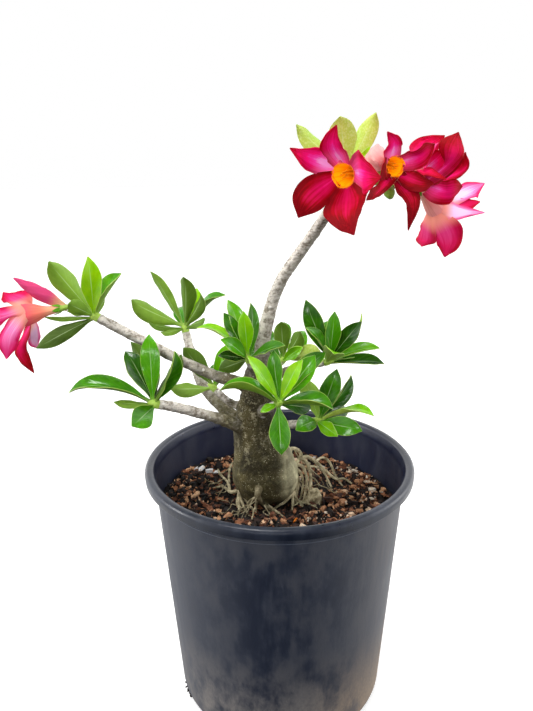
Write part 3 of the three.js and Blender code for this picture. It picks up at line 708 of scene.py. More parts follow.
class Paint:
    """Builds the nodes of one material, or of the world, around its shader."""

    def __init__(self, owner: Material | bpy.types.World) -> None:
        """Starts on the shader that a new material or world comes with.

        Args:
            owner: the material or the world.
        """
        owner.use_nodes = True
        self.owner = owner
        self.tree = owner.node_tree
        self.shader = next(n for n in self.tree.nodes if n.type in ("BSDF_PRINCIPLED", "BACKGROUND"))

    def node(self, kind: str, settings: dict | None = None, inputs: dict | None = None) -> bpy.types.Node:
        """Adds a node.

        Args:
            kind: the node's type.
            settings: its properties, set first; "stops" are a ramp's positions and colour codes.
            inputs: a value, a wire or a socket for each input, by name or number.

        Returns:
            The node.
        """
        made = self.tree.nodes.new(kind)
        for key, value in (settings or {}).items():
            if key == "stops":
                for i, (place, colour) in enumerate(value):
                    stop = made.color_ramp.elements[i] if i < 2 else made.color_ramp.elements.new(place)
                    stop.position, stop.color = place, ink(colour)
            else:
                setattr(made, key, value)
        for key, value in (inputs or {}).items():
            self.feed(made.inputs[key], value)
        return made

    def feed(self, socket: Socket, value: object) -> None:
        """Links something to an input, or sets the input's own value.

        Args:
            socket: the input.
            value: a wire or a socket to link, or a colour's code or another value to set.
        """
        source = value.socket if isinstance(value, Wire) else value
        if isinstance(source, Socket):
            self.tree.links.new(source, socket)
        else:
            socket.default_value = ink(source) if isinstance(source, str) else source

    def mark(self, name: str) -> Wire:
        """A mark that the form bears."""
        return Wire(self, self.node("ShaderNodeAttribute", {"attribute_name": name}).outputs["Fac"])

    def place(self, stretch: Point = (1, 1, 1)) -> Socket:
        """Where a point is.

        Args:
            stretch: how far each axis is stretched.

        Returns:
            The place's socket, in millimetres.
        """
        own = self.node("ShaderNodeTexCoord").outputs["Object"]
        scale = tuple(s / MM for s in stretch)
        return self.node("ShaderNodeVectorMath", {"operation": "MULTIPLY"}, {0: own, 1: scale}).outputs[0]

    def axis(self, which: str) -> Wire:
        """One coordinate of a point, in millimetres."""
        return Wire(self, self.node("ShaderNodeSeparateXYZ", {}, {0: self.place()}).outputs[which])

    def joined(self, x: "Wire | float", y: "Wire | float", z: "Wire | float") -> Socket:
        """A vector made of three numbers."""
        return self.node("ShaderNodeCombineXYZ", {}, {0: x, 1: y, 2: z}).outputs[0]

    def grain(self, vector: Socket, size: float, detail: float, harsh: float = 0.55) -> Wire:
        """Cloudy noise from about 0.3 to 0.7 with lumps of a size in the vector's units."""
        inputs = {"Vector": vector, "Scale": 1 / size, "Detail": detail, "Roughness": harsh}
        return Wire(self, self.node("ShaderNodeTexNoise", {}, inputs).outputs["Fac"])

    def cells(self, vector: Socket, size: float) -> Wire:
        """How far a point is from the middle of its cell, among scattered cells of a size."""
        inputs = {"Vector": vector, "Scale": 1 / size}
        return Wire(self, self.node("ShaderNodeTexVoronoi", {}, inputs).outputs["Distance"])

    def mix(self, share: "Wire | float", first: object, second: object) -> Socket:
        """A colour between two others."""
        settings = {"data_type": "RGBA", "clamp_factor": True}
        return self.node("ShaderNodeMix", settings, {0: share, 6: first, 7: second}).outputs[2]

    def coated(self, colour: Socket, *coats: tuple[Wire, object]) -> Socket:
        """A colour under coats of others.

        Args:
            colour: the colour below.
            coats: each coat's share and its colour, the lowest first.

        Returns:
            The colour on top.
        """
        for share, coat in coats:
            colour = self.mix(share, colour, coat)
        return colour

    def ramp(self, value: Wire, *stops: tuple[float, str]) -> Socket:
        """A colour read from a ramp."""
        return self.node("ShaderNodeValToRGB", {"stops": stops}, {0: value}).outputs[0]

    def bump(self, height: Wire, distance: float) -> Socket:
        """A normal from a relief whose height of 1 is a distance in millimetres."""
        inputs = {"Height": height, "Distance": distance * MM}
        return self.node("ShaderNodeBump", {}, inputs).outputs[0]

    def finish(self, **sockets: object) -> Material:
        """Feeds the shader's own sockets.

        Args:
            sockets: what feeds each, by its name with _ for a space.

        Returns:
            The material.
        """
        for name, value in sockets.items():
            self.feed(self.shader.inputs[name.replace("_", " ")], value)
        return self.owner


def blank(name: str) -> Paint:
    """A paint for a new material."""
    return Paint(bpy.data.materials.new(name))


@dataclass(frozen=True)
class PotPlastic:
    """Weathered black plastic, blue where it is clean, with dust towards its foot. Its right side is paler
    with dust and a painted sheen, its inside darker with painted shade, and the step under the lip bears a
    painted highlight.

    Attributes:
        slot: the name of a slot; not used.
        lip: the heights between which the glossy lip sets in.
        ledge: the height of the step under the lip, whose edge bears a painted highlight.
        low: the heights between which the dust at the foot sets in.
        right: how far right the paler side, with dust and a painted sheen, sets in.
        dry: how far right the dust turns to dry clay.
    """

    slot: str = "pot"
    lip: tuple[float, float] = (194.0, 196.5)
    ledge: float = 190.1
    low: tuple[float, float] = (95, -5)
    right: tuple[float, float] = (35, 95)
    dry: tuple[float, float] = (10, 60)
    clean: str = "1f2637"
    faded: str = "393f4d"
    grime: str = "4d4947"
    # The pale line along the step's edge: a painted highlight.
    ledge_highlight: str = "7c8596"
    # Dust at the foot, and also the painted sheen on the right side.
    dust_and_sheen: str = "98918a"
    rim: str = "0f1625"
    clay: str = "a8937c"
    # The inside's colour, darkened as painted shade in the pot's hollow.
    inner: str = "141933"

    def make(self) -> Material:
        """Makes the material. It reads the mark inside.

        Returns:
            The material.
        """
        p = blank("pot_plastic")
        x, z, inside = p.axis("X"), p.axis("Z"), p.mark("inside")
        outside = 1 - inside
        cloud = p.grain(p.place((1, 1, 0.7)), 34, 5, 0.6)
        blotch = p.grain(p.place((1, 1, 0.5)), 12, 4, 0.6)
        streak = p.grain(p.place((1, 1, 0.12)), 7, 4, 0.6)
        fine = p.grain(p.place((1, 1, 0.6)), 1.8, 3)
        lip = z.step(*self.lip)
        fading = (cloud * 0.8 + blotch * 0.55 + streak * 0.3).step(0.66, 1.0)
        worn = (cloud * 0.55 + blotch * 0.3 + streak * 0.15).step(0.45, 0.6) * (1 - lip)
        # The right side is made paler: partly dust, partly a painted sheen.
        side = x.step(*self.right) * (0.5 + 0.5 * streak.step(0.4, 0.6)) * outside * (1 - lip)
        low = z.step(*self.low) * (cloud * 0.6 + blotch * 0.4 + side * 0.22).step(0.38, 0.6) * outside
        # A thin pale line on the step's edge: a painted highlight.
        ledge = abs(z - self.ledge).step(0.75, 0.25) * outside * (0.3 + fine)
        colour = p.coated(
            p.mix(fading, self.clean, self.faded),
            (worn * 0.26, self.grime),
            # Dust and painted sheen on the right side.
            (side * 0.2, self.dust_and_sheen),
            (low * (0.35 + 0.65 * fine), p.mix(x.step(*self.dry), self.dust_and_sheen, self.clay)),
            (lip * (0.85 - 0.3 * fading), self.rim),
            # Darker and bluer inside the pot: partly its own colour, partly painted shade.
            (inside * (0.95 - 0.5 * blotch), self.inner),
            (ledge * 0.6, self.ledge_highlight),
        )
        roughness = 0.4 + 0.14 * fading + 0.25 * low + 0.1 * streak - 0.17 * lip
        relief = 0.6 * cloud + 0.2 * fine + 0.2 * streak
        return p.finish(
            Base_Color=colour, Roughness=roughness, Normal=p.bump(relief, 0.3), Specular_IOR_Level=0.5
        )


@dataclass(frozen=True)
class BarkMix:
    """Chips of composted bark, from nearly black to tan, with a few pale bits."""

    slot: str = "soil"

    def make(self) -> Material:
        """Makes the material. It reads the marks tone and dye.

        Returns:
            The material.
        """
        p = blank("bark_mix")
        tone = p.mark("tone")
        fibre = p.grain(p.place((1, 0.35, 1)), 1.3, 4, 0.65)
        blot = p.grain(p.place(), 2.6, 3)
        shade = tone + (fibre - 0.5) * 0.32 + (blot - 0.5) * 0.22
        colour = p.ramp(
            shade,
            (0.0, "0b0604"),
            (0.22, "2c170e"),
            (0.42, "6b3f29"),
            (0.6, "a36b48"),
            (0.78, "d9aa80"),
            (0.9, "e2d2bb"),
            (1.0, "cdd2da"),
        )
        colour = p.coated(colour, (blot.step(0.42, 0.32) * 0.7, "1b100b"), (p.mark("dye"), "e07a10"))
        relief = fibre + 0.6 * blot
        return p.finish(Base_Color=colour, Roughness=0.72 + 0.2 * fibre, Normal=p.bump(relief, 0.7))


@dataclass(frozen=True)
class TrunkBark:
    """Smooth olive bark at the foot, rough and dark at the joints, silver towards the shoots. The old bark is
    painted lit on its right and left sides and shaded down a band in its middle, and faces that point down
    are painted darker.
    """

    slot: str = "bark"

    def make(self) -> Material:
        """Makes the material. It reads the marks young, scar, root and knob.

        Returns:
            The material.
        """
        p = blank("trunk_bark")
        young, scar, root, knob = (p.mark(m) for m in ("young", "scar", "root", "knob"))
        x, wood = p.axis("X"), 1 - root
        cloud = p.grain(p.place(), 14, 4, 0.6)
        stain = p.grain(p.place((1, 1, 0.3)), 11, 3, 0.5)
        patch = p.grain(p.place((1, 1, 0.8)), 4.5, 5, 0.65)
        fine = p.grain(p.place(), 1.1, 4, 0.6)
        ring = p.grain(p.place((0.5, 0.5, 1.8)), 1.7, 3, 0.5)
        crumb = p.grain(p.place(), 0.7, 3, 0.6)
        flecks = p.cells(p.place((1, 1, 1.3)), 2.0).step(0.22, 0.12)
        old = p.coated(
            p.mix(cloud.step(0.38, 0.62), "25200f", "4d4528"),
            # Painted light: the old bark grows pale towards the right.
            (x.step(-4, 18), "dcd6ae"),
            (patch.step(0.56, 0.68) * 0.45, "938c66"),
            # Painted light: the old bark is paler on the far left.
            (x.step(-27, -42) * 0.5, "8d8562"),
        )
        silver = p.mix(patch.step(0.36, 0.58), "877c6e", "dfd8cf")
        bare = p.mix(patch.step(0.35, 0.65), "7a6f54", "c6ba98")
        rugged = (patch * 0.7 + fine * 0.3).step(0.5, 0.6) * p.axis("Z").step(205, 222) * wood
        # A band down the middle of the old bark, where painted shade goes.
        band = abs(x + 7 + (cloud - 0.5) * 30).step(15, 4) * (1 - young.step(0.1, 0.5)) * wood
        # How far a face points down, for painted shade on the undersides.
        normal = p.node("ShaderNodeNewGeometry").outputs["Normal"]
        down = Wire(p, p.node("ShaderNodeSeparateXYZ", {}, {0: normal}).outputs[2]).step(0.2, -0.7)
        colour = p.coated(
            p.mix(young.step(0.1, 0.8), old, silver),
            (root.step(0.3, 0.8), bare),
            (rugged * (0.55 - 0.4 * young), "a39b80"),
            # Painted shade down the middle band.
            (band * 0.6, "26230f"),
            (stain.step(0.5, 0.62) * (1 - young) * (1 - 0.6 * root) * 0.5, "2c2814"),
            (knob * patch.step(0.6, 0.42) * 0.85, "2b2618"),
            (ring.step(0.54, 0.66) * young * 0.6, "e8e4dc"),
            (ring.step(0.44, 0.36) * young * 0.45, "5c5344"),
            (flecks * cloud.step(0.44, 0.56) * wood * (0.7 - 0.35 * young), "cfc8aa"),
            (crumb.step(0.58, 0.7) * wood * 0.18, "b5ad84"),
            (crumb.step(0.42, 0.3) * 0.4, "2a2517"),
            (fine.step(0.56, 0.68) * 0.15, "a59e84"),
            (scar.step(0.25, 0.5) * 0.9, "e4e0d9"),
            # Painted shade on faces that point down.
            (down * wood * 0.6, "3f3926"),
        )
        relief = 0.5 * patch + 0.35 * fine + 0.35 * ring + 0.15 * flecks
        roughness = 0.62 + 0.22 * patch
        return p.finish(
            Base_Color=colour, Roughness=roughness, Normal=p.bump(relief, 0.9), Specular_IOR_Level=0.22
        )


@dataclass(frozen=True)
class LeafSkin:
    """A glossy green leaf with a fine pale rib and rim and a matte underside."""

    slot: str = "leaf"

    def make(self) -> Material:
        """Makes the material. It reads the marks along, across, front and tone.

        Returns:
            The material.
        """
        p = blank("leaf_skin")
        along, across, front, tone = (p.mark(m) for m in ("along", "across", "front", "tone"))
        off = abs(across)
        cloud = p.grain(p.place(), 9, 3)
        mottle = p.grain(p.place(), 1.2, 3)
        vein = ((along * 46 - off * 13).sine() * 0.5 + 0.5).step(0.7, 1.0) * off.step(0.02, 0.2)
        upper = p.ramp(
            tone + (cloud - 0.5) * 0.4,
            (0.0, "123002"),
            (0.25, "296002"),
            (0.5, "469002"),
            (0.75, "71b803"),
            (1.0, "9fd405"),
        )
        lower = p.ramp(
            tone + (cloud - 0.5) * 0.3,
            (0.0, "34480a"),
            (0.4, "587c16"),
            (0.7, "88b034"),
            (1.0, "cad85c"),
        )
        lower = p.coated(
            lower,
            (mottle.step(0.44, 0.66) * (0.9 * tone - 0.56), "e6e9c0"),
            (mottle.step(0.46, 0.36) * (0.5 * tone - 0.3), "8fae36"),
        )
        rib = (off * (1.4 - along)).step(0.045, 0.015) * along.step(0.95, 0.5)
        rim = off.step(0.95, 1.0) * along.step(0.0, 0.2)
        colour = p.coated(
            p.mix(front, lower, upper),
            (vein * 0.025, "b4d977"),
            (rib * 0.5, "c5dea0"),
            (rim * 0.5, "c3d568"),
            (along.step(0.14, 0.0) * 0.5, "a9c95e"),
        )
        roughness = 0.52 - 0.38 * front + 0.08 * mottle
        relief = 0.1 * vein + 0.5 * cloud + 0.1 * mottle
        return p.finish(
            Base_Color=colour, Roughness=roughness, Normal=p.bump(relief, 0.4), Specular_IOR_Level=0.38
        )


@dataclass(frozen=True)
class PetalSkin:
    """A velvety petal: orange throat, pink middle, crimson edge and a paler back. Its pale fronts and its
    throat glow with painted light.
    """

    slot: str = "petal"

    def face(self, p: Paint, lines: Wire, cloud: Wire) -> Socket:
        """The front's colour.

        Args:
            p: the paint.
            lines: the fine lines from foot to tip.
            cloud: soft blotches.

        Returns:
            The colour.
        """
        along, across, tone = (p.mark(m) for m in ("along", "across", "tone"))
        off = abs(across)
        glow = (1 - off) * along.step(1.0, 0.1)
        rosy = 0.08 + glow * (0.55 + 0.6 * tone) + (lines - 0.5) * 0.6
        rosy = rosy + (cloud - 0.5) * 0.4 + (tone - 0.5) * 0.55
        colour = p.ramp(
            rosy,
            (0.0, "7a0006"),
            (0.14, "a60014"),
            (0.36, "d00a4c"),
            (0.62, "ea1070"),
            (0.85, "f83fae"),
            (1.0, "f99bdc"),
        )
        halo = along.step(0.42, 0.16) * (0.35 + 0.65 * lines) * (1 - 0.7 * off) * tone.step(0.4, 0.85)
        brink = (along + 0.06 * (lines - 0.5) + 0.02 * off).step(0.05, 0.02)
        return p.coated(
            colour,
            (halo * 0.8, "f3a8f0"),
            # Petals of low tone are deepened further: painted shade.
            (tone.step(0.45, 0.05) * 0.25, "8c001c"),
            (brink, "ff9808"),
        )

    def back(self, p: Paint, lines: Wire) -> Socket:
        """The back's colour.

        Args:
            p: the paint.
            lines: the fine lines from foot to tip.

        Returns:
            The colour.
        """
        along, across, tone = (p.mark(m) for m in ("along", "across", "tone"))
        off = abs(across)
        blush = 0.27 + off.step(0.3, 1.0) * 0.45 + along.step(0.25, 1.0) * 0.35
        blush = blush + (lines - 0.5) * 0.45 - (tone - 0.4) * 0.9
        colour = p.ramp(
            blush,
            (0.0, "fbcaf2"),
            (0.15, "f082bc"),
            (0.38, "e03c80"),
            (0.6, "d21256"),
            (1.0, "ae0026"),
        )
        return p.mix(along.step(0.36, 0.06) * 0.9, colour, "f59d88")

    def trumpet(self, p: Paint, lines: Wire) -> Socket:
        """The tube's colour, outside and in the throat.

        Args:
            p: the paint.
            lines: the fine lines from foot to tip.

        Returns:
            The colour.
        """
        along, front, tone = (p.mark(m) for m in ("along", "front", "tone"))
        throat = p.coated(
            p.mix(lines.step(0.5, 0.6) * 0.5, "ffae0c", "e07006"),
            (along.step(0.5, 0.2), "d9b32a"),
            (tone.step(0.4, 0.1), "b4001e"),
        )
        skin = p.coated(
            p.mix(along.step(0.05, 0.6), "f0b890", "f8806c"),
            (along.step(0.5, 1.0) * 0.85, "f0506c"),
            (tone.step(0.7, 0.9), "efb4ae"),
            (tone.step(0.3, 0.1) * along.step(0.12, 0.4), "d8447a"),
            (lines.step(0.5, 0.6) * 0.25, "d0504c"),
        )
        return p.mix(front, skin, throat)

    def make(self) -> Material:
        """Makes the material. It reads the marks along, across, front, tone and tube.

        Returns:
            The material.
        """
        p = blank("petal_skin")
        along, across, front, tone = (p.mark(m) for m in ("along", "across", "front", "tone"))
        tube_mark = p.mark("tube")
        lines = p.grain(p.joined(across * 9, along * 1.2, tone * 40), 1.0, 3, 0.5)
        cloud = p.grain(p.place(), 8, 3)
        colour = p.mix(front, self.back(p, lines), self.face(p, lines, cloud))
        colour = p.mix(tube_mark, colour, self.trumpet(p, lines))
        # The throat glows orange: painted light.
        throat = tube_mark * front * along.step(0.2, 0.9) * tone.step(0.1, 0.4) * (1.25 - 0.6 * lines)
        # Pale fronts glow: painted light standing in for light shining through the petal.
        lit = tone.step(0.3, 0.9) * (1 - tube_mark) * front * 0.5
        glow = p.coated(p.mix(lit, "000000", colour), (throat, "e89c04"))
        relief = lines * 0.7 + 0.3 * cloud
        return p.finish(
            Base_Color=colour,
            Roughness=0.5 + 0.15 * lines,
            Normal=p.bump(relief, 0.35),
            Specular_IOR_Level=0.08,
            # The glow: painted light from surfaces that are no lamp.
            Emission_Color=glow,
            Emission_Strength=0.6,
        )


@dataclass(frozen=True)
class Backdrop:
    """The pale floor."""

    colour: str = "f7f7f6"

    def make(self) -> Material:
        """Makes the material.

        Returns:
            The material.
        """
        p = blank("pale_floor")
        cloud = p.grain(p.place(), 300, 2)
        colour = p.mix(cloud * 0.3, self.colour, "ffffff")
        white = (1.0, 1.0, 1.0, 1.0)
        return p.finish(Base_Color=colour, Roughness=0.8, Emission_Color=white, Emission_Strength=0.35)


class Shoot(Enum):
    """The plant's heads of leaves, by the name of the solid that each stands for."""

    LEFT_FLOWERING = "left_flowering_shoot"
    BACK_LEFT = "back_left_shoot"
    LOW_LEFT = "low_left_shoot"
    TWIG = "twig"
    TRUNK = "trunk_shoot"
    FRONT = "front_shoot"
    HIGH_RIGHT = "high_right_shoot"
    LOW_RIGHT = "low_right_shoot"
    REAR = "rear_shoot"


def placed(form: Form, name: str, material: Material, node: str, crease: float) -> None:
    """Makes a piece that rides with the plant and stands for a solid.

    Args:
        form: its mesh.
        name: its name.
        material: its finish.
        node: the solid that it stands for.
        crease: edges sharper than this many degrees stay sharp.
    """
    piece = form.piece(name, material, crease)
    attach(piece, "root")
    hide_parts(node)
    LOG.info("%s: %d points, %d faces", name, len(form.points), len(form.faces))


def settled(form: Form, *modifiers: tuple[str, dict]) -> tuple[np.ndarray, list[tuple[int, ...]], np.ndarray]:
    """Runs Blender's modifiers over a form.

    Args:
        form: the form.
        modifiers: each one's type and settings, in metres.

    Returns:
        The new points in millimetres, the faces and the points' normals.
    """
    maker = form_object(form)
    for kind, settings in modifiers:
        modifier = maker.modifiers.new(kind.lower(), kind)
        for key, value in settings.items():
            setattr(modifier, key, value)
    seen = maker.evaluated_get(bpy.context.evaluated_depsgraph_get())
    mesh = seen.to_mesh()
    points = np.empty(len(mesh.vertices) * 3)
    mesh.vertices.foreach_get("co", points)
    normals = np.empty(len(mesh.vertices) * 3)
    mesh.vertex_normals.foreach_get("vector", normals)
    faces = [tuple(f.vertices) for f in mesh.polygons]
    seen.to_mesh_clear()
    data = maker.data
    bpy.data.objects.remove(maker)
    bpy.data.meshes.remove(data)
    return points.reshape(-1, 3) / MM, faces, normals.reshape(-1, 3)


def form_object(form: Form) -> bpy.types.Object:
    """A bare object of a form, for modifiers to work on.

    Args:
        form: the form.

    Returns:
        The object, linked to the scene.
    """
    mesh = bpy.data.meshes.new("blank")
    mesh.from_pydata((form.points * MM).tolist(), [], form.faces)
    blank = bpy.data.objects.new("blank", mesh)
    bpy.context.scene.collection.objects.link(blank)
    return blank


@dataclass(frozen=True)
class Camera:
    """The photograph's viewpoint, in millimetres and degrees, with its clip in metres."""

    at: tuple[float, float, float] = (0.0, -446.1, 423.64)
    yaw: float = -1.17
    pitch: float = -16.53
    roll: float = -0.71
    focal_px: float = 600.0
    frame_px: float = 711.0
    sensor: float = 36.0
    clip: tuple[float, float] = (0.01, 100.0)

    def build(self) -> None:
        """Sets up the camera."""
        yaw, pitch, roll = (math.radians(a) for a in (self.yaw, self.pitch, self.roll))
        ahead = np.array([math.cos(pitch) * math.sin(yaw), math.cos(pitch) * math.cos(yaw), math.sin(pitch)])
        level = np.array([math.cos(yaw), -math.sin(yaw), 0.0])
        above = np.cross(level, ahead)
        right = math.cos(roll) * level + math.sin(roll) * above
        up = math.cos(roll) * above - math.sin(roll) * level
        lens = bpy.data.cameras.new("camera")
        lens.sensor_width = self.sensor
        lens.lens = self.focal_px / self.frame_px * self.sensor
        lens.clip_start, lens.clip_end = self.clip
        camera = bpy.data.objects.new("camera", lens)
        turn = Matrix((right, up, -ahead)).transposed().to_4x4()
        camera.matrix_world = Matrix.Translation(Vector(self.at) * MM) @ turn
        bpy.context.scene.collection.objects.link(camera)
        bpy.context.scene.camera = camera


@dataclass(frozen=True)
class Studio:
    """A pale floor in a white surround with soft lamps.

    The floor's radius is in metres, its drop in millimetres. The last five sizes are how strong the
    surround's light is from each way.
    """

    floor_radius: float = 30.0
    floor_drop: float = 0.3
    floor_sides: int = 64
    front: float = 0.12
    above: float = 0.36
    sides: float = 1.15
    behind: float = 1.1
    below: float = 0.85

    def lamp(
        self, name: str, at: Point, size: float, power: float, aim: Point = (0, 0, 0.25), spread: float = 180
    ) -> bpy.types.Object:
        """A soft square lamp.

        Args:
            name: its name.
            at: where it is, in metres.
            size: the length of its side, in metres.
            power: its power, in watts.
            aim: where it points, in metres.
            spread: the angle of its beam, in degrees.

        Returns:
            The lamp.
        """
        lamp = bpy.data.lights.new(name, "AREA")
        lamp.shape, lamp.size, lamp.energy, lamp.spread = "SQUARE", size, power, math.radians(spread)
        holder = bpy.data.objects.new(name, lamp)
        holder.location = at
        holder.rotation_euler = (Vector(aim) - Vector(at)).to_track_quat("-Z", "Y").to_euler()
        bpy.context.scene.collection.objects.link(holder)
        return holder

    def surround(self) -> None:
        """White where it is seen; its light is dim from the front and strong from above."""
        world = bpy.data.worlds.new("surround")
        p = Paint(world)
        way = p.node("ShaderNodeTexCoord").outputs["Generated"]
        parts = p.node("ShaderNodeSeparateXYZ", {}, {0: way})
        x, y, z = (Wire(p, socket) for socket in parts.outputs)
        paths = p.node("ShaderNodeLightPath").outputs
        glossy = Wire(p, paths["Is Glossy Ray"])
        power = (self.front + z.step(-0.1, 0.8) * self.above) * (1 - 0.75 * glossy)
        around = abs(x).step(0.3, 1.0) * self.sides + y.step(0.1, 1.0) * self.behind
        power = power + around * (1 + 0.4 * glossy)
        power = power * (self.below + (1 - self.below) * z.step(-0.5, 0.1))
        p.finish(Color=(0.98, 0.98, 0.98, 1.0), Strength=power)
        seen = p.node("ShaderNodeBackground", {}, {"Color": "ffffff", "Strength": 1.0})
        choice = {0: paths["Is Camera Ray"], 1: p.shader.outputs[0], 2: seen.outputs[0]}
        out = next(n for n in p.tree.nodes if n.type == "OUTPUT_WORLD")
        p.feed(out.inputs["Surface"], p.node("ShaderNodeMixShader", {}, choice).outputs[0])
        bpy.context.scene.world = world

    def build(self) -> None:
        """Sets up the floor, the surround and the lamps."""
        radii = (1, self.floor_radius / MM)
        floor = rings_skin(level_rings([(r, -self.floor_drop) for r in radii], self.floor_sides))
        inner = len(floor.points) - 2
        keep = [f for f in floor.faces if len(f) == 4 or max(f) == inner]
        stand = Form(floor.points, keep).piece("floor", Backdrop().make())
        stand.visible_diffuse = False
        stand.visible_glossy = False
        self.surround()
        self.lamp("sky_panel", (-0.3, -0.35, 1.6), 0.42, 11.0)
        self.lamp("front_window", (-0.3, -1.6, 0.9), 0.9, 6.5).visible_glossy = False
        self.lamp("left_window", (-1.6, -0.1, 0.9), 0.5, 8.0)
        self.lamp("right_window", (1.5, 0.3, 0.9), 0.9, 8.5)
        self.lamp("crown_light", (0.1, -1.25, 0.75), 0.3, 0.1, (0.07, -0.05, 0.42), 24)
        self.lamp("left_head_light", (-0.45, -1.2, 0.65), 0.3, 0.06, (-0.17, -0.02, 0.34), 24)
        view = bpy.context.scene.view_settings
        view.view_transform = "Standard"
        view.look = "None"


@dataclass(frozen=True)
class NurseryPot:
    """A round pot with a turned-down lip, a step under it and drain holes at its foot.

    The rim, the neck and the foot are radii, and the belt is a ring of points half way up.
    """

    height: float = 205.0
    rim: float = 108.0
    neck: float = 100.4
    foot: float = 86.5
    wall: float = 1.6
    lip_height: float = 7.8
    lip_reach: float = 1.8
    band: float = 7.5
    step: float = 1.1
    belt: float = 95.0
    foot_round: float = 5.0
    floor: float = 2.2
    sides: int = 168
    holes: int = 6
    hole_radius: float = 6.5
    hole_height: float = 6.0
    hole_sides: int = 24
    first_hole: float = 10.0
    drill: float = 15.0

    def outside(self, z: float | np.ndarray) -> float | np.ndarray:
        """The wall's outer radius at a height."""
        return self.foot + (self.neck - self.foot) * z / (self.height - self.lip_height)

    def inside(self, z: float) -> float:
        """The wall's inner radius at a height."""
        return self.outside(z) - self.wall

    def profile(self) -> list[tuple[float, float, float]]:
        """The section: up the outside, over the lip and down the inside.

        Returns:
            Each corner's radius and height, and how far it is rounded.
        """
        top, skirt = self.height, self.height - self.lip_height
        low = skirt - self.band
        inner = self.rim - self.lip_reach
        return [
            (self.foot - self.foot_round, 0, 2.0),
            (self.foot - self.foot_round * 0.3, self.foot_round * 0.3, 2.5),
            (self.outside(self.foot_round), self.foot_round, 2.0),
            (self.outside(self.belt), self.belt, 0),
            (self.outside(low), low, 0.1),
            (self.outside(low) + self.step, low + 0.6, 0.2),
            (self.neck + self.step, skirt + 3.5, 0.5),
            (self.neck + 2.5, top - 2.2, 0.5),
            (inner - 2.5, top - 2.2, 1.0),
            (inner, skirt + 3.5, 1.2),
            (inner, skirt, 0.5),
            (self.rim - 0.4, skirt, 0.6),
            (self.rim, top - 2.4, 1.3),
            (self.rim - 1.8, top - 0.4, 0.9),
            (self.rim - 4.6, top, 1.4),
            (self.neck + 0.6, top - 1, 1.4),
            (self.neck - self.wall, skirt, 2.0),
            (self.inside(self.belt), self.belt, 0),
            (self.inside(self.foot_round + 2), self.foot_round + 2, 2.0),
            (self.inside(0) - self.foot_round, self.floor, 2.0),
        ]

    def section(self) -> np.ndarray:
        """The profile with its corners rounded.

        Returns:
            Rows of radius and height.
        """
        rows = np.array(self.profile())
        out = [rows[0, :2]]
        for before, here, after in zip(rows[:-2], rows[1:-1], rows[2:]):
            corner, reach = here[:2], here[2]
            if reach == 0:
                out.append(corner)
                continue
            to_before, to_after = before[:2] - corner, after[:2] - corner
            a = corner + unit(to_before) * min(reach, 0.45 * np.linalg.norm(to_before))
            b = corner + unit(to_after) * min(reach, 0.45 * np.linalg.norm(to_after))
            for t in (0, 0.25, 0.5, 0.75, 1):
                out.append((1 - t) ** 2 * a + 2 * t * (1 - t) * corner + t**2 * b)
        out.append(rows[-1, :2])
        return np.array(out)

    def build(self) -> Form:
        """Turns the pot and drills its holes.

        Returns:
            The pot, with the mark inside.
        """
        body = rings_skin(level_rings(self.section(), self.sides))
        cutters = []
        for k in range(self.holes):
            turned = math.radians(self.first_hole) + 2 * math.pi * k / self.holes
            out = np.array([math.cos(turned), math.sin(turned), 0])
            ends = [out * (self.foot + far) + [0, 0, self.hole_height] for far in (-self.drill, self.drill)]
            cutters.append(tube([(*end, self.hole_radius) for end in ends], self.hole_sides, 1))
        tool = form_object(Form.joined(cutters))
        tool.hide_render = True
        settings = {"operation": "DIFFERENCE", "solver": "EXACT", "object": tool}
        points, faces, _ = settled(body, ("BOOLEAN", settings))
        bpy.data.objects.remove(tool)
        radius, z = np.hypot(points[:, 0], points[:, 1]), points[:, 2]
        # The mark goes softly from 0 to 1 within the thickness of the wall.
        limit = np.where(z > self.height - self.lip_height, self.neck + 1.0, self.outside(z) - 0.8)
        inside = np.clip((limit - radius) / 1.2 + 0.5, 0, 1)
        return Form(points, faces, {"inside": inside})

    def dress(self) -> None:
        """Places the pot."""
        finish = PotPlastic()
        placed(self.build(), "nursery_pot_shell", finish.make(), "nursery_pot", 40)


# Single chips that are seen on the mix: x, y and length.
PALE_CHIPS = ((-70, 44, 12), (-62, 38, 11), (-57, 37, 7), (-75, 44, 8), (34, 77, 4))
LARGE_CHIPS = ((26, 12, 13), (33, 6, 10), (-38, -58, 10), (-8, -66, 9))
ORANGE_CRUMB = (12, -39, 5.5)
# Peat that has come out of a drain hole: heading, height and length.
FOOT_CLODS = ((200, 5, 5.5), (202, 4, 6), (204, 3.2, 6), (206, 2.4, 5.5), (208, 1.8, 4.5))


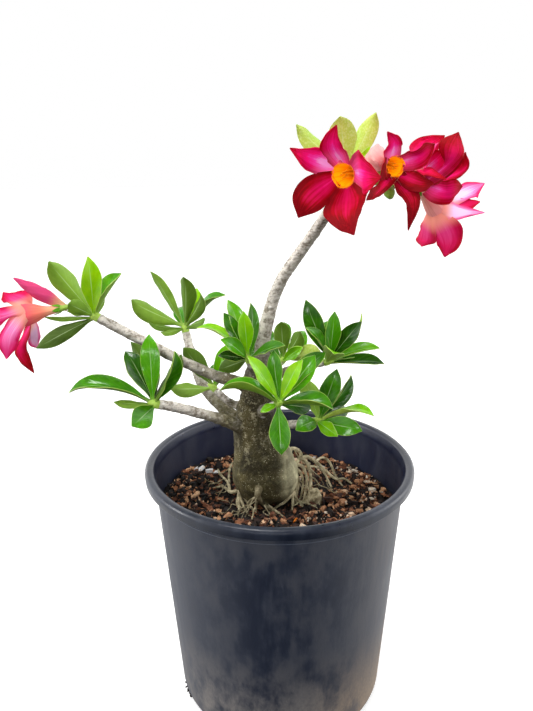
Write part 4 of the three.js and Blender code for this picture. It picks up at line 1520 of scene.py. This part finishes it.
@dataclass
class Mix:
    """Bark chips and peat in the pot, low and fine within clear of the points to keep off.

    The chips are least to least + spread long. The single ones stand proud of the surface, and the
    clods at the foot are sunk into it.
    """

    pot: NurseryPot
    keep_off: np.ndarray
    level: float = 169.0
    gap: float = 0.3
    margin: float = 3.5
    clear: float = 4.5
    proud: float = 2.6
    sunk: float = 0.9
    chips: int = 4200
    least: float = 2.4
    spread: float = 8.0
    shades: tuple[float, ...] = (0.04, 0.22, 0.44, 0.64, 0.82, 0.94)
    odds: tuple[float, ...] = (0.26, 0.18, 0.2, 0.18, 0.16, 0.02)
    ground_sides: int = 150
    ground_rings: int = 56
    seed: int = 11

    def top(self, x: float | np.ndarray, y: float | np.ndarray) -> float | np.ndarray:
        """The surface's height: it falls to the right and dips under the trunk.

        Args:
            x: how far right the place is.
            y: how far back it is.

        Returns:
            The height there.
        """
        slope = -0.035 * x - 0.055 * np.maximum(y - 5, 0) + 0.03 * np.maximum(-60 - x, 0)
        dip = -1.5 * np.exp(-((x + 8) ** 2 + (y + 6) ** 2) / 700)
        coarse = 1.1 * np.sin(x * 0.13 + 1.3) * np.sin(y * 0.15 + 0.4)
        fine = 0.7 * np.sin(x * 0.37 + y * 0.21) * np.cos(y * 0.33 - x * 0.15)
        return self.level + slope + dip + coarse + fine

    def ground(self) -> Form:
        """The crumbly body under the chips, nearly black: dark peat, darkened further as painted shade in the
        gaps between the chips.

        Returns:
            The body, with the marks tone and dye.
        """
        reach = self.pot.inside(self.level) - self.gap
        low = [(self.pot.inside(self.pot.floor) - self.pot.foot_round, self.pot.floor + self.gap)]
        low += [(self.pot.inside(z) - self.gap, z) for z in (10.0, 90.0)]
        rings = level_rings(low, self.ground_sides)
        turn = circle(self.ground_sides)
        for r in np.linspace(reach, 4, self.ground_rings):
            x, y = np.cos(turn) * r, np.sin(turn) * r
            z = self.top(x, y) - 1.2
            z += [1.9 * rough((a, b, 0), 5.0, 3, 3.0) for a, b in zip(x, y)]
            rings.append(np.stack([x, y, z], 1))
        # A near-black tone: dark peat and painted shade between the chips.
        return rings_skin(rings).marked(tone=0.04, dye=0.0)

    def chip(
        self, draw: np.random.Generator, at: Point, size: float, tone: float, flat: float, dye: float = 0.0
    ) -> Form:
        """One splinter of bark.

        Args:
            draw: the source of its shape.
            at: its middle.
            size: its length.
            tone: its shade, from 0 for dark to 1 for pale.
            flat: how far it may tilt, in radians.
            dye: how orange it is.

        Returns:
            The chip.
        """
        corners = int(draw.integers(5, 8))
        turn = np.sort((np.arange(corners) + draw.uniform(-0.3, 0.3, corners)) * 2 * math.pi / corners)
        reach = draw.uniform(0.75, 1.15, corners) * size / 2
        aspect = draw.uniform(0.2, 0.75)
        outline = np.stack([np.cos(turn) * reach, np.sin(turn) * reach * aspect, 0 * turn], 1)
        thick = size * draw.uniform(0.16, 0.34)
        upper = outline * draw.uniform(0.7, 0.95) + [0, 0, thick / 2]
        upper = upper + draw.normal(0, 0.05 * size, (corners, 3))
        lower = outline + [0, 0, -thick / 2]
        tilt, spin = draw.uniform(-flat, flat, 2), draw.uniform(0, 2 * math.pi)
        turned = Matrix.Rotation(spin, 3, "Z") @ Matrix.Rotation(tilt[0], 3, "X")
        turned = turned @ Matrix.Rotation(tilt[1], 3, "Y")
        points = np.vstack([lower, upper]) @ np.array(turned).T + at
        n = corners
        faces = [tuple(range(n - 1, -1, -1)), tuple(range(n, 2 * n))]
        faces += [(j, (j + 1) % n, n + (j + 1) % n, n + j) for j in range(n)]
        return Form(points, faces).marked(tone=tone, dye=dye)

    def on_top(self, x: float, y: float, above: float) -> Point:
        """A place above the surface."""
        return (x, y, float(self.top(x, y)) + above)

    def build(self) -> Form:
        """Lays the chips on the body.

        Returns:
            The mix, with the marks tone and dye.
        """
        draw = np.random.default_rng(self.seed)
        reach = self.pot.inside(self.level) - self.margin
        roots = kdtree.KDTree(len(self.keep_off))
        for i, p in enumerate(self.keep_off):
            roots.insert((p[0], p[1], 0), i)
        roots.balance()
        forms = [self.ground()]
        for _ in range(self.chips):
            r, turned = reach * math.sqrt(draw.uniform(0.015, 1)), draw.uniform(0, 2 * math.pi)
            x, y = r * math.cos(turned), r * math.sin(turned)
            size = self.least + self.spread * draw.uniform() ** 2.6
            size = min(size, 2 * (reach + 3 - r) + 2.5)
            lift = draw.uniform(-0.8, 1.6) + 0.06 * size
            near = roots.find((x, y, 0))[2]
            # Chips near the roots are darker the closer they lie: painted shade under the trunk and roots.
            root_shade = 0.55 + 0.45 * min(1.0, near / 16)
            if near < self.clear:
                lift, size = lift - 1.6, min(size, 4.0)
            tone = float(draw.choice(self.shades, p=self.odds) * root_shade + draw.uniform(-0.06, 0.06))
            # Chips also grow paler towards the right.
            tone, flat = tone + 0.0007 * x, 0.75 if size < 6 else 0.45
            forms.append(self.chip(draw, self.on_top(x, y, lift), size, tone, flat))
        for chips, tone, flat in ((PALE_CHIPS, 0.97, 0.2), (LARGE_CHIPS, 0.74, 0.25)):
            for x, y, size in chips:
                forms.append(self.chip(draw, self.on_top(x, y, self.proud), size, tone, flat))
        for heading, z, size in FOOT_CLODS:
            r, turned = self.pot.outside(z) - self.sunk, math.radians(heading)
            forms.append(self.chip(draw, (r * math.cos(turned), r * math.sin(turned), z), size, 0.05, 0.5))
        x, y, size = ORANGE_CRUMB
        forms.append(self.chip(draw, self.on_top(x, y, 1.8), size, 0.7, 0.6, 1.0))
        return Form.joined(forms)

    def dress(self) -> None:
        """Places the mix."""
        finish = BarkMix()
        placed(self.build(), "bark_chips_and_peat", finish.make(), "potting_mix", 30)


class Limb(Enum):
    """The kinds of thick limb, numbered by how uneven they are."""

    TRUNK = 0
    BRANCH = 1
    ROOT = 2


# How many sides a limb has, and how many rings between two of its rows.
SIDES = {Limb.TRUNK: 44, Limb.BRANCH: 22, Limb.ROOT: 12}
STEPS = {Limb.TRUNK: 5, Limb.BRANCH: 6, Limb.ROOT: 5}
CHUNK = 4000


@dataclass
class Wood:
    """The swollen trunk with its branches and bare roots, grown as one.

    A root whose first radius is at least thick_root is grown into the body. The trunk's bark turns
    young from the height young_from on, within young_reach. Leaf scars lie above scars_from, where
    the wood is thinner than scars_within, each scar_turn round from the last.
    """

    voxel: float = 0.8
    thick_root: float = 2.7
    lump_at: tuple[float, float, float] = (28.5, -8, 172)
    lump_size: tuple[float, float, float] = (7.8, 7.2, 9.0)
    rootlets: int = 34
    young_from: float = 255.0
    young_reach: float = 90.0
    scars_from: float = 236.0
    scars_within: float = 9.5
    scar_turn: float = 2.4
    seed: int = 5

    def limbs(self) -> list[tuple[Sequence[Point], Limb]]:
        """The thick limbs.

        Returns:
            Each limb's rows and its kind.
        """
        limbs = [(TRUNK, Limb.TRUNK)]
        limbs += [(rows, Limb.BRANCH) for rows in BRANCHES.values()]
        limbs += [(rows, Limb.ROOT) for rows in ROOTS if rows[0][3] >= self.thick_root]
        return limbs

    def root_line(self) -> np.ndarray:
        """Points along the roots, from above."""
        return np.vstack([through(rows, 24)[:, :3] for rows in ROOTS] + [np.array([self.lump_at])])

    def lump(self) -> Form:
        """The corky lump that a root has swelled into.

        Returns:
            The lump, with the mark along.
        """
        turn, cap = circle(26), 0.12
        rings = []
        for polar in np.linspace(cap, math.pi - cap, 16):
            flat = np.sin(polar)
            ring = np.stack([flat * np.cos(turn), flat * np.sin(turn), 0 * turn + np.cos(polar)], 1)
            bumps = np.array([0.95 + 0.4 * rough(p * 7, 5.0, 4, 8.0) for p in ring])
            squared = np.sign(ring) * np.abs(ring) ** 0.8
            squared[:, :2] *= 1 - 0.3 * math.cos(polar)
            rings.append(squared * bumps[:, None] * self.lump_size + self.lump_at)
        return rings_skin(rings[::-1]).marked(along=0.0)

    def knobs(self) -> list[Form]:
        """Swellings where branches leave the trunk."""
        shape = ((-0.9, 0.3), (-0.4, 0.85), (0.4, 0.85), (0.9, 0.3))
        return [tube([(x, y, z + up * r, wide * r) for up, wide in shape], 14, 3) for x, y, z, r in KNOBS]

    def strings(self, ground: Callable[[float, float], float]) -> Form:
        """The thin roots: those of the table, and rootlets that wander from them over the mix.

        Args:
            ground: the mix's height at a place.

        Returns:
            The roots, with the bark's marks.
        """
        draw = np.random.default_rng(self.seed + 1)
        thin = [(k, rows) for k, rows in enumerate(ROOTS) if rows[0][3] < self.thick_root]
        forms = [tube(rows, 9, 7, 0.16, 5 * k) for k, rows in thin]
        lines = [through(rows, 30) for rows in ROOTS]
        for _ in range(self.rootlets):
            line = lines[int(draw.integers(len(lines)))]
            start = line[int(draw.integers(6, 24))]
            heading = math.atan2(start[1] + 5, start[0] + 5) + draw.normal(0, 0.8)
            place, radius = start[:3].copy(), float(draw.uniform(0.35, 0.75))
            rows = [(*place, radius)]
            for _ in range(int(draw.integers(4, 8))):
                heading += draw.normal(0, 0.55)
                stride = draw.uniform(2.5, 5.0)
                place = place + [math.cos(heading) * stride, math.sin(heading) * stride, 0]
                low = ground(place[0], place[1]) + 1.4 + draw.uniform(-0.3, 1.6)
                place[2] = max(low, place[2] - draw.uniform(2, 6))
                radius *= 0.86
                rows.append((*place, radius))
            rows.append((*(place + [1.5 * math.cos(heading), 1.5 * math.sin(heading), -3.5]), 0.5 * radius))
            forms.append(tube(rows, 7, 5, 0.2, float(draw.uniform(0, 50))))
        whole = Form.joined(forms)
        shade = np.array([0.8 + 0.35 * rough(p, 6.0, 2, 4.0) for p in whole.points])
        marks = {"young": 0 * shade, "scar": 0 * shade, "root": shade, "knob": 0 * shade}
        return Form(whole.points, whole.faces, marks)

    def build(self, ground: Callable[[float, float], float]) -> Form:
        """Grows the limbs into one body with wrinkled bark, and adds the thin roots.

        Args:
            ground: the mix's height at a place.

        Returns:
            The wood, with the marks young, scar, root and knob.
        """
        forms = []
        for k, (rows, kind) in enumerate(self.limbs()):
            forms.append(tube(rows, SIDES[kind], STEPS[kind], 0.05 + 0.04 * kind.value, 3 * k))
        whole = Form.joined(forms + self.knobs() + [self.lump()])
        points, faces, normals = settled(
            whole,
            ("REMESH", {"mode": "VOXEL", "voxel_size": self.voxel * MM}),
            ("SMOOTH", {"iterations": 4, "factor": 0.5}),
        )
        marks = self.ages(points)
        lift = np.zeros(len(points))
        for i, p in enumerate(points):
            big = rough(p, 15.0, 2, 1.0) * (1 - marks["young"][i]) * 0.7
            small = rough((p[0], p[1], p[2] * 1.3), 3.0, 3, 2.0)
            lift[i] = big + small * (0.3 + 0.55 * marks["knob"][i])
        lift += marks["scar"] * 0.5
        body = Form(points + normals * lift[:, None], faces, marks)
        return Form.joined([body, self.strings(ground)])

    def ages(self, points: np.ndarray) -> dict[str, np.ndarray]:
        """How old the bark is, and what lies on it.

        Args:
            points: the points of the wood.

        Returns:
            The marks: how young the bark is, whether it is root, and where scars and knobs lie.
        """
        draw = np.random.default_rng(self.seed)
        samples, scars = [], []
        for rows, kind in self.limbs():
            line = through(rows, 12 * len(rows))
            shares = np.linspace(0, 1, len(line))
            side, other = carried_frame(line[:, :3])
            for row, share in zip(line, shares):
                up = (row[2] - self.young_from) / self.young_reach
                age = float(np.clip(up if kind is Limb.TRUNK else share * 1.25, 0, 1))
                samples.append((*row, 0.0 if kind is Limb.ROOT else age, float(kind is Limb.ROOT)))
            turn = 0.0
            for step in range(0, 0 if kind is Limb.ROOT else len(line) - 2, 2):
                row = line[step]
                if row[3] < self.scars_within and row[2] > self.scars_from:
                    turn += self.scar_turn
                    at = row[:3] + spoke(turn, side[step], other[step]) * row[3]
                    scars.append((*at, draw.uniform(1.0, 2.0), draw.uniform(0, 1) ** 1.3))
        table = np.array([*samples, (*self.lump_at, min(self.lump_size), 0.0, 1.7)])
        found = np.empty(len(points), int)
        for start in range(0, len(points), CHUNK):
            part = points[start : start + CHUNK, None] - table[None, :, :3]
            found[start : start + CHUNK] = (np.sqrt((part**2).sum(2)) - table[None, :, 3]).argmin(1)
        table = table[found]
        blur = np.array([0.12 * rough(p, 9.0, 2, 6.0) for p in points])
        scar = self.spots(points, scars)
        knob = self.spots(points, [(x, y, z, 1.1 * r, 1.0) for x, y, z, r in self.joints()])
        young = np.clip(table[:, 4] + blur, 0, 1) * (1 - 0.7 * knob)
        return {"young": young, "scar": scar, "root": 0.55 * table[:, 5], "knob": knob}

    def joints(self) -> list[tuple[float, float, float, float]]:
        """Where a branch leaves the wood, with its radius there."""
        spots = [(*rows[1][:3], rows[1][3] * 1.2) for rows in BRANCHES.values()]
        return spots + [(-18, 0, 238, 12), (-22, 0, 228, 10)]

    def spots(self, points: np.ndarray, spots: Sequence[Point]) -> np.ndarray:
        """How near each point is to round spots.

        Args:
            points: the points.
            spots: rows of x, y, z, size and strength.

        Returns:
            A value for each point, from 0 to 1.
        """
        near = np.zeros(len(points))
        for x, y, z, size, strength in spots:
            close = np.abs(points - [x, y, z]).max(1) < 2.5 * size
            away = np.linalg.norm(points[close] - [x, y, z], axis=1) / size
            near[close] = np.maximum(near[close], strength * np.exp(-(away**2)))
        return np.clip(near, 0, 1)

    def dress(self, ground: Callable[[float, float], float]) -> None:
        """Places the wood."""
        wood, finish = self.build(ground), TrunkBark()
        placed(wood, "trunk_branches_and_roots", finish.make(), "trunk_and_roots", 180)


# How leaves, sepals and petals are cut, in the order of SheetCut's sizes.
LEAF_CUT = SheetCut(22, 11, 0.95, 0.4, 0.55, 0.3, 0.5, 1.6)
SEPAL_CUT = SheetCut(7, 5, 0.7, 0.3, 0.1, 0.0, 0.0, 1.0)
PETAL_CUT = SheetCut(34, 17, 0.75, 0.35, 0.0, 0.15, 0.55, 2.3)


@dataclass
class Head:
    """The leaves at a shoot's tip.

    The last leaf starts first beyond the tip, the others each a spacing further, and out from the
    branch's line. The curl of a leaf's tip is in degrees, its sweep sideways a share of its length.
    """

    branch: Sequence[Point]
    leaves: Sequence[Leaf]
    seed: int
    facing: tuple[float, float, float] = (0.0, -0.93, 0.36)
    steps: int = 9
    first: float = 1.4
    spacing: float = 0.5
    out: float = 0.8
    curl: tuple[float, float] = (6.0, 26.0)
    sweep: float = 0.06

    def outline(self, t: float) -> float:
        """A leaf's half width along it, as a share of its widest."""
        body = max(0.0, math.sin(math.pi * t**1.45)) ** 0.8
        return max(0.2 * (1 - t), body, 0.03)

    def leaf(
        self, end: np.ndarray, axis: np.ndarray, leaf: Leaf, rank: int, draw: np.random.Generator
    ) -> Form:
        """One leaf.

        Args:
            end: the branch's tip.
            axis: the way that it points.
            leaf: the leaf.
            rank: its place in the head, from the top.
            draw: the source of its small differences.

        Returns:
            The leaf.
        """
        along = direction(leaf.heading, leaf.rise)
        outward = along - axis * (along @ axis)
        flat = unit(np.cross(self.facing, along))
        front = np.cross(along, flat)
        beyond = self.first + self.spacing * (len(self.leaves) - 1 - rank)
        point = end + axis * beyond + unit(outward) * self.out
        curl, sweep = draw.uniform(*self.curl), draw.uniform(-self.sweep, self.sweep)
        middle = math.radians(leaf.roll)
        bow = front * math.cos(middle) - flat * math.sin(middle)
        rows = []
        for i in range(self.steps):
            t = i / (self.steps - 1)
            lean = math.radians(leaf.bend * (0.5 - t) - curl * max(0, t - 0.75) * 4)
            ahead = along * math.cos(lean) + bow * math.sin(lean)
            turned = math.radians(leaf.roll + leaf.twist * (t - 0.5))
            side = flat * math.cos(turned) + front * math.sin(turned)
            side = unit(side - ahead * (side @ ahead))
            normal = np.cross(ahead, side)
            if i:
                point = point + ahead * leaf.length / (self.steps - 1)
            half = leaf.width / 2 * self.outline(t)
            fold = math.radians(leaf.fold * (1.2 - 0.5 * t))
            here = point + side * (sweep * leaf.length * t * t)
            wide, high = side * half * math.cos(fold), normal * half * math.sin(fold)
            rows.append((here + wide + high, here, here - wide + high))
        rails = [np.array(rail) for rail in zip(*rows)]
        return sheet(rails, LEAF_CUT, draw.uniform(0, 6.28), leaf.tone)

    def build(self) -> Form:
        """Puts the leaves round the tip.

        Returns:
            The head, with the leaf's marks.
        """
        draw = np.random.default_rng(self.seed)
        tip = np.array(self.branch[-1][:3], float)
        axis = unit(tip - np.array(self.branch[-2][:3]))
        forms = [self.leaf(tip, axis, row, rank, draw) for rank, row in enumerate(self.leaves)]
        radius = self.branch[-1][3]
        ends = [(0.0, radius), (4.0, radius * 0.9), (8.0, radius * 0.3)]
        forms.append(greened(tube([(*(tip + axis * a), r) for a, r in ends], 14, 4, 0.05)))
        return Form.joined(forms)


def greened(form: Form, along: float = 0.12, tone: float = 0.75) -> Form:
    """A stalk or a tip, marked as leaf."""
    form.marks = {}
    return form.marked(along=along, across=0.3, front=0.0, tone=tone)


def stalk(start: Point, foot: np.ndarray, axis: np.ndarray, radii: Sequence[float]) -> Form:
    """A green stalk that runs straight into the foot of a flower or a bud.

    Args:
        start: where it leaves its stem.
        foot: the foot of the flower or the bud.
        axis: the way that the flower or the bud points.
        radii: its radius at its start and at three places before the foot.

    Returns:
        The stalk, marked as leaf.
    """
    places = [np.array(start, float), *(foot - axis * back for back in (7.3, 3.3, 0.3))]
    return greened(tube([(*place, radius) for place, radius in zip(places, radii)], 12, 4, 0.05))


@dataclass
class Bloom:
    """A trumpet flower: a tube that flares to its mouth, and five or so petals.

    Attributes:
        name: its name in the table of petals.
        mouth: the middle of its mouth.
        faces: the heading and the rise of the way that it faces.
        tube: how long its tube is.
        stalk: where its stalk leaves the stem.
        radii: its tube's radii from foot to mouth.
        throat_tone: its throat's shade, from 0 for crimson to 1 for pale.
        tube_end: how much of the tube's length is skin, before the petals take over.
        skin: how thick the tube's skin is at its foot.
        sepal_tone: its sepals' shade.
    """

    name: str
    mouth: Point
    faces: tuple[float, float]
    tube: float
    stalk: Point
    radii: tuple[float, ...] = (2.4, 2.9, 3.4, 4.6, 6.4, 7.4, 8.3)
    throat_tone: float = 0.5
    tube_end: float = 0.9
    skin: float = 0.7
    sepal_tone: float = 0.55

    def axis(self) -> np.ndarray:
        """The way that the flower faces."""
        return direction(*self.faces)

    def foot(self) -> np.ndarray:
        """Where the tube meets its stalk."""
        return np.array(self.mouth, float) - self.axis() * self.tube

    def throat(self) -> Form:
        """The tube, outside and inside.

        Returns:
            The tube, with the petal's marks.
        """
        axis, foot, count = self.axis(), self.foot(), 26
        shares = np.linspace(0, self.tube_end, count)
        radius = through([(r,) for r in self.radii], count)[:, 0]
        side, other = carried_frame(np.array([foot + axis * s * self.tube for s in shares]))
        turn, rings, along, front = circle(40), [], [], []
        outside = [(k, 0.0) for k in range(count)]
        inside = [(k, 1.0) for k in range(count - 1, 6, -1)]
        for k, face in outside + inside:
            less = face * self.skin * (1 - 0.75 * shares[k] / self.tube_end)
            ribs = 1 + 0.035 * np.cos(5 * turn) * shares[k] + 0.012 * np.cos(20 * turn)
            spokes = spokes_of(turn, side[k], other[k])
            rings.append(foot + axis * shares[k] * self.tube + spokes * ((radius[k] - less) * ribs)[:, None])
            along.append(shares[k] / self.tube_end)
            front.append(face)
        form = rings_skin(rings)
        ends = [(along[0], front[0]), (along[-1], front[-1])]
        across = np.tile(np.abs(turn / math.pi - 1) * 2 - 1, len(rings))
        form.marks = {
            "along": np.append(np.repeat(along, len(turn)), [e[0] for e in ends]),
            "across": np.append(across, [0, 0]),
            "front": np.append(np.repeat(front, len(turn)), [e[1] for e in ends]),
        }
        return form.marked(tone=self.throat_tone, tube=1.0)

    def threads(self) -> list[Form]:
        """The fine tails of the anthers, in the throat.

        Returns:
            One form each, with the petal's marks.
        """
        axis, mouth = self.axis(), np.array(self.mouth, float)
        side, other = carried_frame(np.array([mouth, mouth + axis]))
        forms = []
        for k in range(5):
            out = spoke(2 * math.pi * k / 5 + 0.3, side[0], other[0])
            swirl = np.cross(axis, out)
            rows = [(*(mouth - axis * 16 + out * 2.6), 0.7), (*(mouth - axis * 9 + out * 1.7 + swirl), 0.6)]
            rows.append((*(mouth - axis * 2.5 + out * 1.0 + swirl * 1.4), 0.3))
            form = tube(rows, 6, 4)
            form.marks = {}
            forms.append(form.marked(along=0.3, across=0.0, front=1.0, tone=0.5, tube=1.0))
        return forms

    def sheets(self) -> list[Form]:
        """The petals.

        Returns:
            One form each, with the petal's marks.
        """
        forms = []
        rim = np.interp(1 - FOOT_DEPTH / self.tube, np.linspace(0, 1, len(self.radii)), self.radii) + 0.35
        for k, petal in enumerate(PETALS[self.name]):
            rails = petal.rails(np.array(self.mouth, float), self.axis(), rim)
            forms.append(sheet(rails, PETAL_CUT, 1.7 * k + 0.4, petal.tone).marked(tube=0.0))
        return forms

    def build(self) -> Form:
        """The bloom, with the petal's marks."""
        return Form.joined([self.throat(), *self.threads(), *self.sheets()])

    def calyx(self) -> list[Form]:
        """Its green stalk and sepals.

        Returns:
            One form each, with the leaf's marks.
        """
        axis, foot = self.axis(), self.foot()
        forms = [stalk(self.stalk, foot, axis, (1.9, 1.9, 2.1, 2.5))]
        side, other = carried_frame(np.array([foot, foot + axis]))
        for k in range(5):
            out = spoke(2 * math.pi * k / 5, side[0], other[0])
            edge = np.cross(axis, out)
            middle = [foot + axis * a + out * o for a, o in ((-1.5, 2.2), (0.6, 3.0), (2.4, 3.4), (4.2, 3.7))]
            halves = (1.2, 1.5, 1.1, 0.1)
            rails = [np.array([m + edge * h * sign for m, h in zip(middle, halves)]) for sign in (-1, 0, 1)]
            forms.append(sheet(rails, SEPAL_CUT, 0.0, self.sepal_tone))
        return forms


@dataclass
class Bud:
    """A furled bud, its petals rolled round each other.

    Attributes:
        name: its solid's name.
        foot: where it meets its stalk.
        faces: the heading and the rise of the way that it points.
        length: how long it is.
        radius: its radius at its thickest.
        stalk: where its stalk leaves the stem.
        turns: how many times its petals wind round it.
        tone: its shade, from 0 for crimson to 1 for pale.
    """

    name: str
    foot: Point
    faces: tuple[float, float]
    length: float
    radius: float
    stalk: Point
    turns: float = 0.55
    tone: float = 0.5

    def axis(self) -> np.ndarray:
        """The way that the bud points."""
        return direction(*self.faces)

    def build(self) -> Form:
        """Rolls the bud.

        Returns:
            The bud, with the petal's marks.
        """
        axis, foot, count = self.axis(), np.array(self.foot, float), 40
        shares = np.linspace(0, 1, count)
        line = np.array([foot + axis * s * self.length for s in shares])
        side, other = carried_frame(line)
        swell = through([(0.4,), (0.62,), (0.9,), (1.0,), (0.86,), (0.55,), (0.1,)], count)[:, 0]
        turn, rings, across = circle(60), [], []
        for k in range(count):
            spun = turn + self.turns * 2 * math.pi * shares[k] * shares[k]
            ridge = ((5 * spun / (2 * math.pi)) % 1.0) ** 1.6
            strength = 0.2 * min(1.0, 2.2 * shares[k])
            reach = self.radius * swell[k] * (1 - strength / 2 + strength * ridge)
            rings.append(line[k] + spokes_of(turn, side[k], other[k]) * reach[:, None])
            across.append(ridge * 2 - 1)
        form = rings_skin(rings)
        form.marks = {
            "along": np.append(np.repeat(shares, len(turn)), [0.0, 1.0]),
            "across": np.append(np.concatenate(across), [0.0, 0.0]),
        }
        return form.marked(front=0.0, tone=self.tone, tube=1.0)

    def calyx(self) -> list[Form]:
        """Its green stalk."""
        radii = [0.4 * self.radius * share for share in (0.8, 0.8, 0.9, 1.0)]
        return [stalk(self.stalk, np.array(self.foot, float), self.axis(), radii)]


@dataclass
class Plant:
    """Everything that grows: wood, heads of leaves, blooms and buds."""

    wood: Wood
    mix: Mix
    blooms: list[Bloom]
    buds: list[Bud]

    def dress(self) -> None:
        """Builds and places every piece of the plant."""
        self.wood.dress(self.mix.top)
        leaf, petal = LeafSkin(), PetalSkin()
        green, pink = leaf.make(), petal.make()
        for k, shoot in enumerate(Shoot):
            name = shoot.value
            form = Head(BRANCHES[name], SHOOT_LEAVES[name], 20 + k).build()
            if shoot is Shoot.LEFT_FLOWERING:
                form = Form.joined([form, *self.calyxes("left")])
            placed(form, f"{name}_foliage", green, f"{name}_leaves", 60)
        crown = Head(TRUNK, CROWN_LEAVES, 90).build()
        stem = greened(tube(PEDUNCLE, 14, 5, 0.05))
        old = greened(tube(OLD_STALK, 12, 5, 0.08), 0.3, 0.5)
        form = Form.joined([crown, stem, old, *self.calyxes("crown")])
        placed(form, "crown_foliage", green, "crown_leaves_and_stalks", 60)
        for bloom in self.blooms:
            placed(bloom.build(), f"{bloom.name}_petals", pink, bloom.name, 60)
        for bud in self.buds:
            placed(bud.build(), f"{bud.name}_rolled", pink, bud.name, 70)

    def calyxes(self, side: str) -> list[Form]:
        """The stalks and sepals of some flowers and buds.

        Args:
            side: how their names start.

        Returns:
            The forms, with the leaf's marks.
        """
        owners = [*self.blooms, *self.buds]
        return [form for owner in owners if owner.name.startswith(side) for form in owner.calyx()]


# Tubes that are narrower than most, as radii from foot to mouth.
SLIM_TUBE = (2.2, 2.6, 3.0, 3.8, 4.8, 5.6, 6.2)
NARROW_TUBE = (2.2, 2.6, 3.0, 3.7, 4.9, 5.6, 6.3)
SOFT_TUBE = (2.4, 2.9, 3.3, 4.2, 5.6, 6.5, 7.3)


BLOOMS = [
    Bloom("crown_front_bloom", (37.5, -77.5, 423.8), (240, -8), 28, (46, -42, 426), SOFT_TUBE),
    Bloom("crown_middle_bloom", (73, -64, 429), (285, -4), 26, (60, -34, 424), NARROW_TUBE),
    Bloom("crown_right_bloom", (97, -38, 425), (325, 15), 26, (69, -29, 423), throat_tone=0.0),
    Bloom("crown_low_bloom", (110, -22, 399), (45, -33), 31, (70, -28, 421), SLIM_TUBE, 0.82),
    Bloom("left_bloom", (-184, -29, 331), (188, -8), 27, (-138, -21, 331)),
]
BUDS = [
    Bud("crown_bud", (61.5, -56, 427), (262, 72), 16, 6.6, (50, -41, 425), tone=0.9),
    Bud("left_bud", (-153, -20, 333.5), (192, 35), 42, 5.0, (-138, -20, 331), tone=0.1),
]


def main() -> None:
    """Builds the studio, the pot, the mix and the plant, in that order."""
    logging.basicConfig(level=logging.INFO, format="%(name)s %(message)s")
    Camera().build()
    Studio().build()
    pot = NurseryPot()
    pot.dress()
    wood = Wood()
    mix = Mix(pot, wood.root_line())
    mix.dress()
    Plant(wood, mix, BLOOMS, BUDS).dress()


if __name__ == "__main__":
    main()
